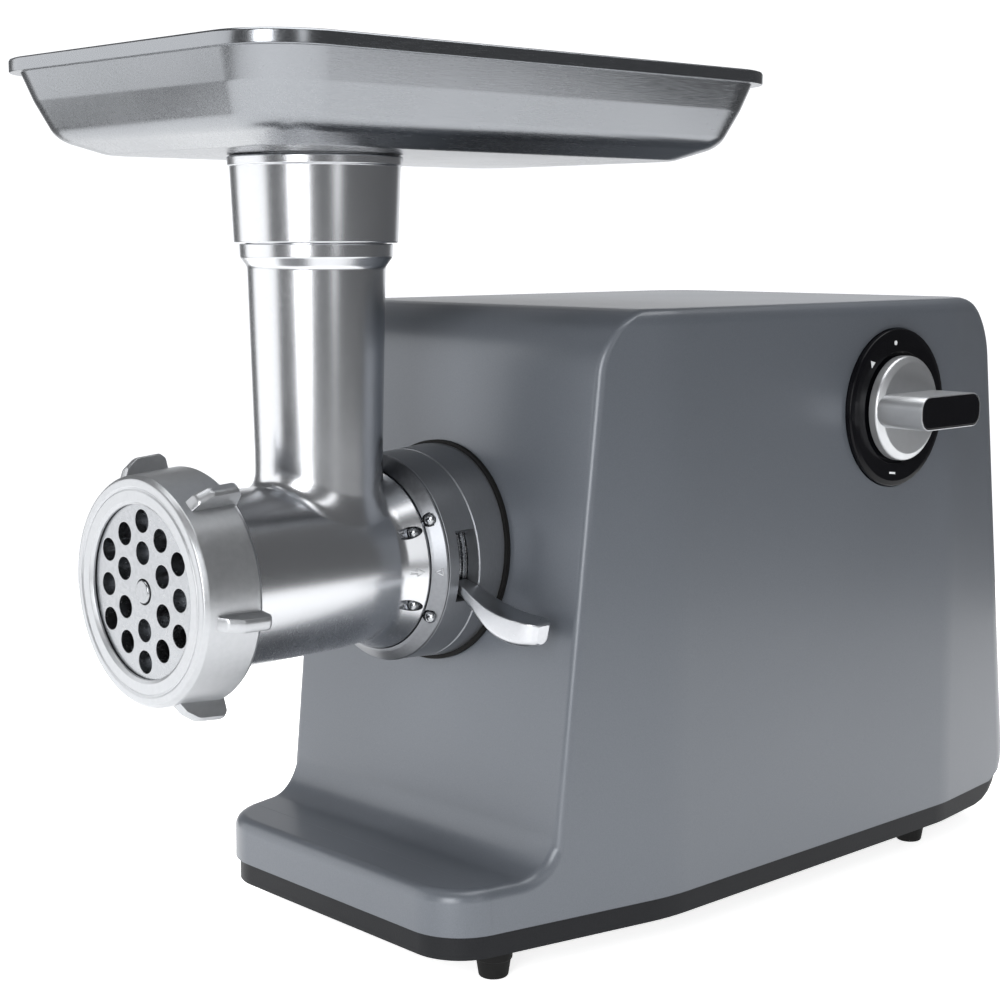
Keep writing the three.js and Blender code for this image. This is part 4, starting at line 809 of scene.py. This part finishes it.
# --- Hopper tray ----------------------------------------------------------------------------
# A deep-drawn stainless pan with generous corners, a turned-down rim and a soft dish, brushed
# along its length. It stands on a cast sleeve that slips over the feed tube.
tray_low, tray_high = (local(p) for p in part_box("hopper_tray"))
RIM, CORNER, SHEET = tray_high.z, 25, 1.2
DEPTH = tray_high.z - tray_low.z


def pan_ring(depth, drawn):
    corners = [(tray_high.x, tray_low.y, 0), (tray_high.x, tray_high.y, 0), (tray_low.x, tray_high.y, 0),
               (tray_low.x, tray_low.y, 0)]
    moved = drawn_in(corners, [drawn] * 4)
    ring = []
    for i, (x, y, _) in enumerate(moved):
        ring += corner_arc(moved[i - 1][:2], (x, y), moved[(i + 1) % 4][:2], CORNER - 0.4 * drawn, 14)
    return [(x, y, RIM - depth) for x, y in ring]


pan_wall = rounded([(DEPTH, 50, 0), (DEPTH, 26, 8), (DEPTH - 5, 12.5, 10), (DEPTH - 17.8, 6.6, 10),
                    (4.6, 3.2, 0)], 5)
outside = [*pan_wall, (4.6, 0.2), (4.2, 0.0), (1.0, 0.0), (0.3, 0.3), (0.0, 1.0)]
inside = [(0.1, 1.8), (0.6, 2.6)] + [(d - SHEET, i + SHEET) for d, i in reversed(pan_wall)]
pan_rings = [pan_ring(d, i) for d, i in outside + inside]
pan = loft("hopper_pan", pan_rings, sharp=50)
NECK = 24.7
combine(pan, turned("neck_hole", [(0, RIM - DEPTH - 5), (NECK, RIM - DEPTH - 5), (NECK, RIM - DEPTH + 5),
                                  (0, RIM - DEPTH + 5)], "Z", sides=96), sharp=50)
stainless = surface("brushed_stainless", (0.20, 0.21, 0.225), (0.27, 0.28, 0.295), 0.25, 0.07, 260,
                    metallic=1.0, bump=0.05, stretch=(9, 0.6, 9))
fit(pan, "tray", ["hopper_tray"], stainless)

sleeve_base, sleeve_top = local(sleeve_low).z, local(sleeve_high).z
sleeve = turned("hopper_sleeve", rounded([
    (NECK, sleeve_base, 0.3), (28.3, sleeve_base, 0.6), (29.4, sleeve_top - 3.6, 0.4),
    (30.1, sleeve_top - 3.2, 0.4), (30.3, sleeve_top - 0.6, 0.5), (29.6, sleeve_top, 0.3),
    (NECK, sleeve_top, 0)]), "Z", sides=128)
fit(sleeve, "tray", ["tray_sleeve"], brushed_cast)

# --- Rotary switch --------------------------------------------------------------------------
# A gloss black dial ring let into the side, a satin silver disc with a raised thumb grip, and a
# gloss black insert with a bright rim at the grip's front end. Plain marks show the positions.
gloss_black = surface("gloss_black", (0.002, 0.002, 0.003), (0.004, 0.004, 0.005), 0.2, 0.04, 300,
                      specular=0.1)
dial = turned("switch_dial", rounded([
    (21.6, DIAL_LOW.x, 0), (DIAL_R, DIAL_LOW.x, 0), (DIAL_R, DIAL_HIGH.x - 0.4, 0.8),
    (DIAL_R - 2.2, DIAL_HIGH.x, 1), (22.4, DIAL_HIGH.x - 0.2, 0.4), (21.6, DIAL_HIGH.x - 1, 0.3)]),
    "X", (0, DIAL_Y, DIAL_Z), 128)
combine(dial, turned("dial_floor", [(4.5, DIAL_LOW.x), (22, DIAL_LOW.x), (22, DIAL_HIGH.x - 1.2),
                                    (4.5, DIAL_HIGH.x - 1.2)], "X", (0, DIAL_Y, DIAL_Z), 96), "UNION")
fit(dial, "base", ["dial_ring"], gloss_black)

knob_high = local(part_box("switch_knob")[1])
insert_low, insert_high = (local(p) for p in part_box("knob_insert"))
DISC_BACK, GRIP_END, KNOB_R = DIAL_HIGH.x + 0.3, knob_high.x, 20.7
GRIP_HALF = (insert_high.y - insert_low.y) / 2 + 0.8
GRIP_HALF_Z, GRIP_R = 6.7, 5.4
satin_silver = surface("satin_silver", (0.42, 0.43, 0.445), (0.48, 0.49, 0.505), 0.36, 0.03, 220,
                       metallic=0.8, bump=0.005)
knob = turned("switch_disc", rounded([
    (0, DISC_BACK, 0), (KNOB_R, DISC_BACK, 0.3), (KNOB_R, DISC_BACK + 3.6, 1.6),
    (KNOB_R - 2.6, DISC_BACK + 5.4, 1.5), (0, DISC_BACK + 5.5, 0)]), "X", (0, DIAL_Y, DIAL_Z), 128)


def grip_ring(x, inset, step):
    """The grip's outline at a station along X, drawn in by inset."""
    half_y, half_z, r = GRIP_HALF - inset, GRIP_HALF_Z - inset, GRIP_R - inset
    corners = [(-half_y, -half_z, r), (half_y, -half_z, r), (half_y, half_z, r), (-half_y, half_z, r)]
    return [(x, DIAL_Y + u, DIAL_Z + v) for u, v in rounded(corners, step)]


grip_rings = []
for x, shrink in ((DISC_BACK + 1, 0.0), (DISC_BACK + 7, 0.1), (GRIP_END - 3, 0.1), (GRIP_END - 0.4, 0.1),
                  (GRIP_END - 0.1, 0.2), (GRIP_END, 0.4)):
    grip_rings.append(grip_ring(x, shrink, 11))
combine(knob, loft("grip", grip_rings), "UNION", sharp=40)


def pill(name, x0, x1, inset):
    """The grip's outline, drawn in and pushed along X."""
    return loft(name, [grip_ring(x, inset, 10) for x in (x0, x1)])


combine(knob, pill("insert_pocket", insert_low.x - 0.2, GRIP_END + 2, 0.55))
fit(knob, "knob", ["switch_knob"], satin_silver)
insert = pill("switch_insert", insert_low.x, GRIP_END, 0.75)
softened = insert.modifiers.new("soft_edge", "BEVEL")
softened.width = 0.0004
softened.segments = 3
softened.limit_method = "ANGLE"
fit(insert, "knob", ["knob_insert"], gloss_black)

mark_white = surface("mark_white", (0.6, 0.62, 0.64), (0.7, 0.71, 0.72), 0.5, 0.05, 800)
MARK_R, MARK_RISE = 26, 0.08
DOT_R = 0.9
dot = [(DOT_R * math.cos(math.pi * k / 8), DOT_R * math.sin(math.pi * k / 8)) for k in range(16)]
mark_shapes = {"off_dot": (97, dot),
               "on_bar": (-97, [(-1.9, -0.4), (1.9, -0.4), (1.9, 0.4), (-1.9, 0.4)]),
               "pulse_wedge": (135, [(-1.5, -1.1), (1.5, -1.1), (0, 1.4)])}
for label, (angle, outline) in mark_shapes.items():
    turn = Matrix.Rotation(math.radians(angle), 2)
    spots = [turn @ Vector((MARK_R + v, u)) for u, v in outline]
    mark = loft("dial_mark_" + label, [[(x, DIAL_Y + p.x, DIAL_Z + p.y) for p in spots]
                                       for x in (DIAL_HIGH.x - 1.0, DIAL_HIGH.x + MARK_RISE)])
    fit(mark, "base", [], mark_white)

# --- Cord inlet -----------------------------------------------------------------------------
# A black rubber grommet low in the back wall, where the mains lead enters.
inlet_low, inlet_high = (local(p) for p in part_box("cord_inlet"))
grommet = turned("cord_grommet", rounded([
    (3.6, inlet_low.y, 0.5), (5.9, inlet_low.y, 0.5), (5.9, inlet_high.y - 3.2, 0.2),
    (9, inlet_high.y - 3.1, 0.6), (8.6, inlet_high.y - 1.6, 0.4), (7.4, inlet_high.y - 1.4, 0.3),
    (7.0, inlet_high.y, 0.5), (4.4, inlet_high.y, 0.6), (3.6, inlet_high.y - 1, 0.3)]),
    "Y", (INLET.x, 0, INLET.z), 64)
fit(grommet, "base", ["cord_inlet"], rubber)

# --- Works inside ---------------------------------------------------------------------------
# The gearbox, motor and fasteners keep their frame shapes. Each gets the finish of its stock:
# raw die casting, machined steel, moulded nylon, turned brass, varnished iron and carbon.
works = {
    "steel": steel,
    "motor_iron": surface("varnished_iron", (0.04, 0.03, 0.028), (0.08, 0.06, 0.05), 0.45, 0.1, 1200,
                          metallic=0.6, bump=0.2, stretch=(1, 40, 1)),
    "gear_nylon": surface("moulded_nylon", (0.68, 0.65, 0.58), (0.76, 0.73, 0.66), 0.42, 0.06, 600,
                          bump=0.1),
    "brass": surface("turned_brass", (0.5, 0.33, 0.12), (0.62, 0.42, 0.18), 0.3, 0.08, 500,
                     metallic=1.0, bump=0.1),
    "die_cast": surface("raw_die_casting", (0.38, 0.385, 0.4), (0.5, 0.505, 0.52), 0.5, 0.1, 800,
                        metallic=0.9, bump=0.25),
    "carbon": surface("pressed_carbon", (0.01, 0.01, 0.011), (0.03, 0.03, 0.032), 0.6, 0.1, 1500,
                      bump=0.2),
    "switch_plastic": charcoal,
    "cast_aluminium": brushed_cast,
}
for subpart in frame["record"]["subparts"]:
    node = frame["nodes"][subpart["node"]]
    if not node.hide_render and subpart["material_slot"] in works:
        for index in range(len(node.material_slots)):
            node.material_slots[index].material = works[subpart["material_slot"]]

bpy.context.view_layer.update()
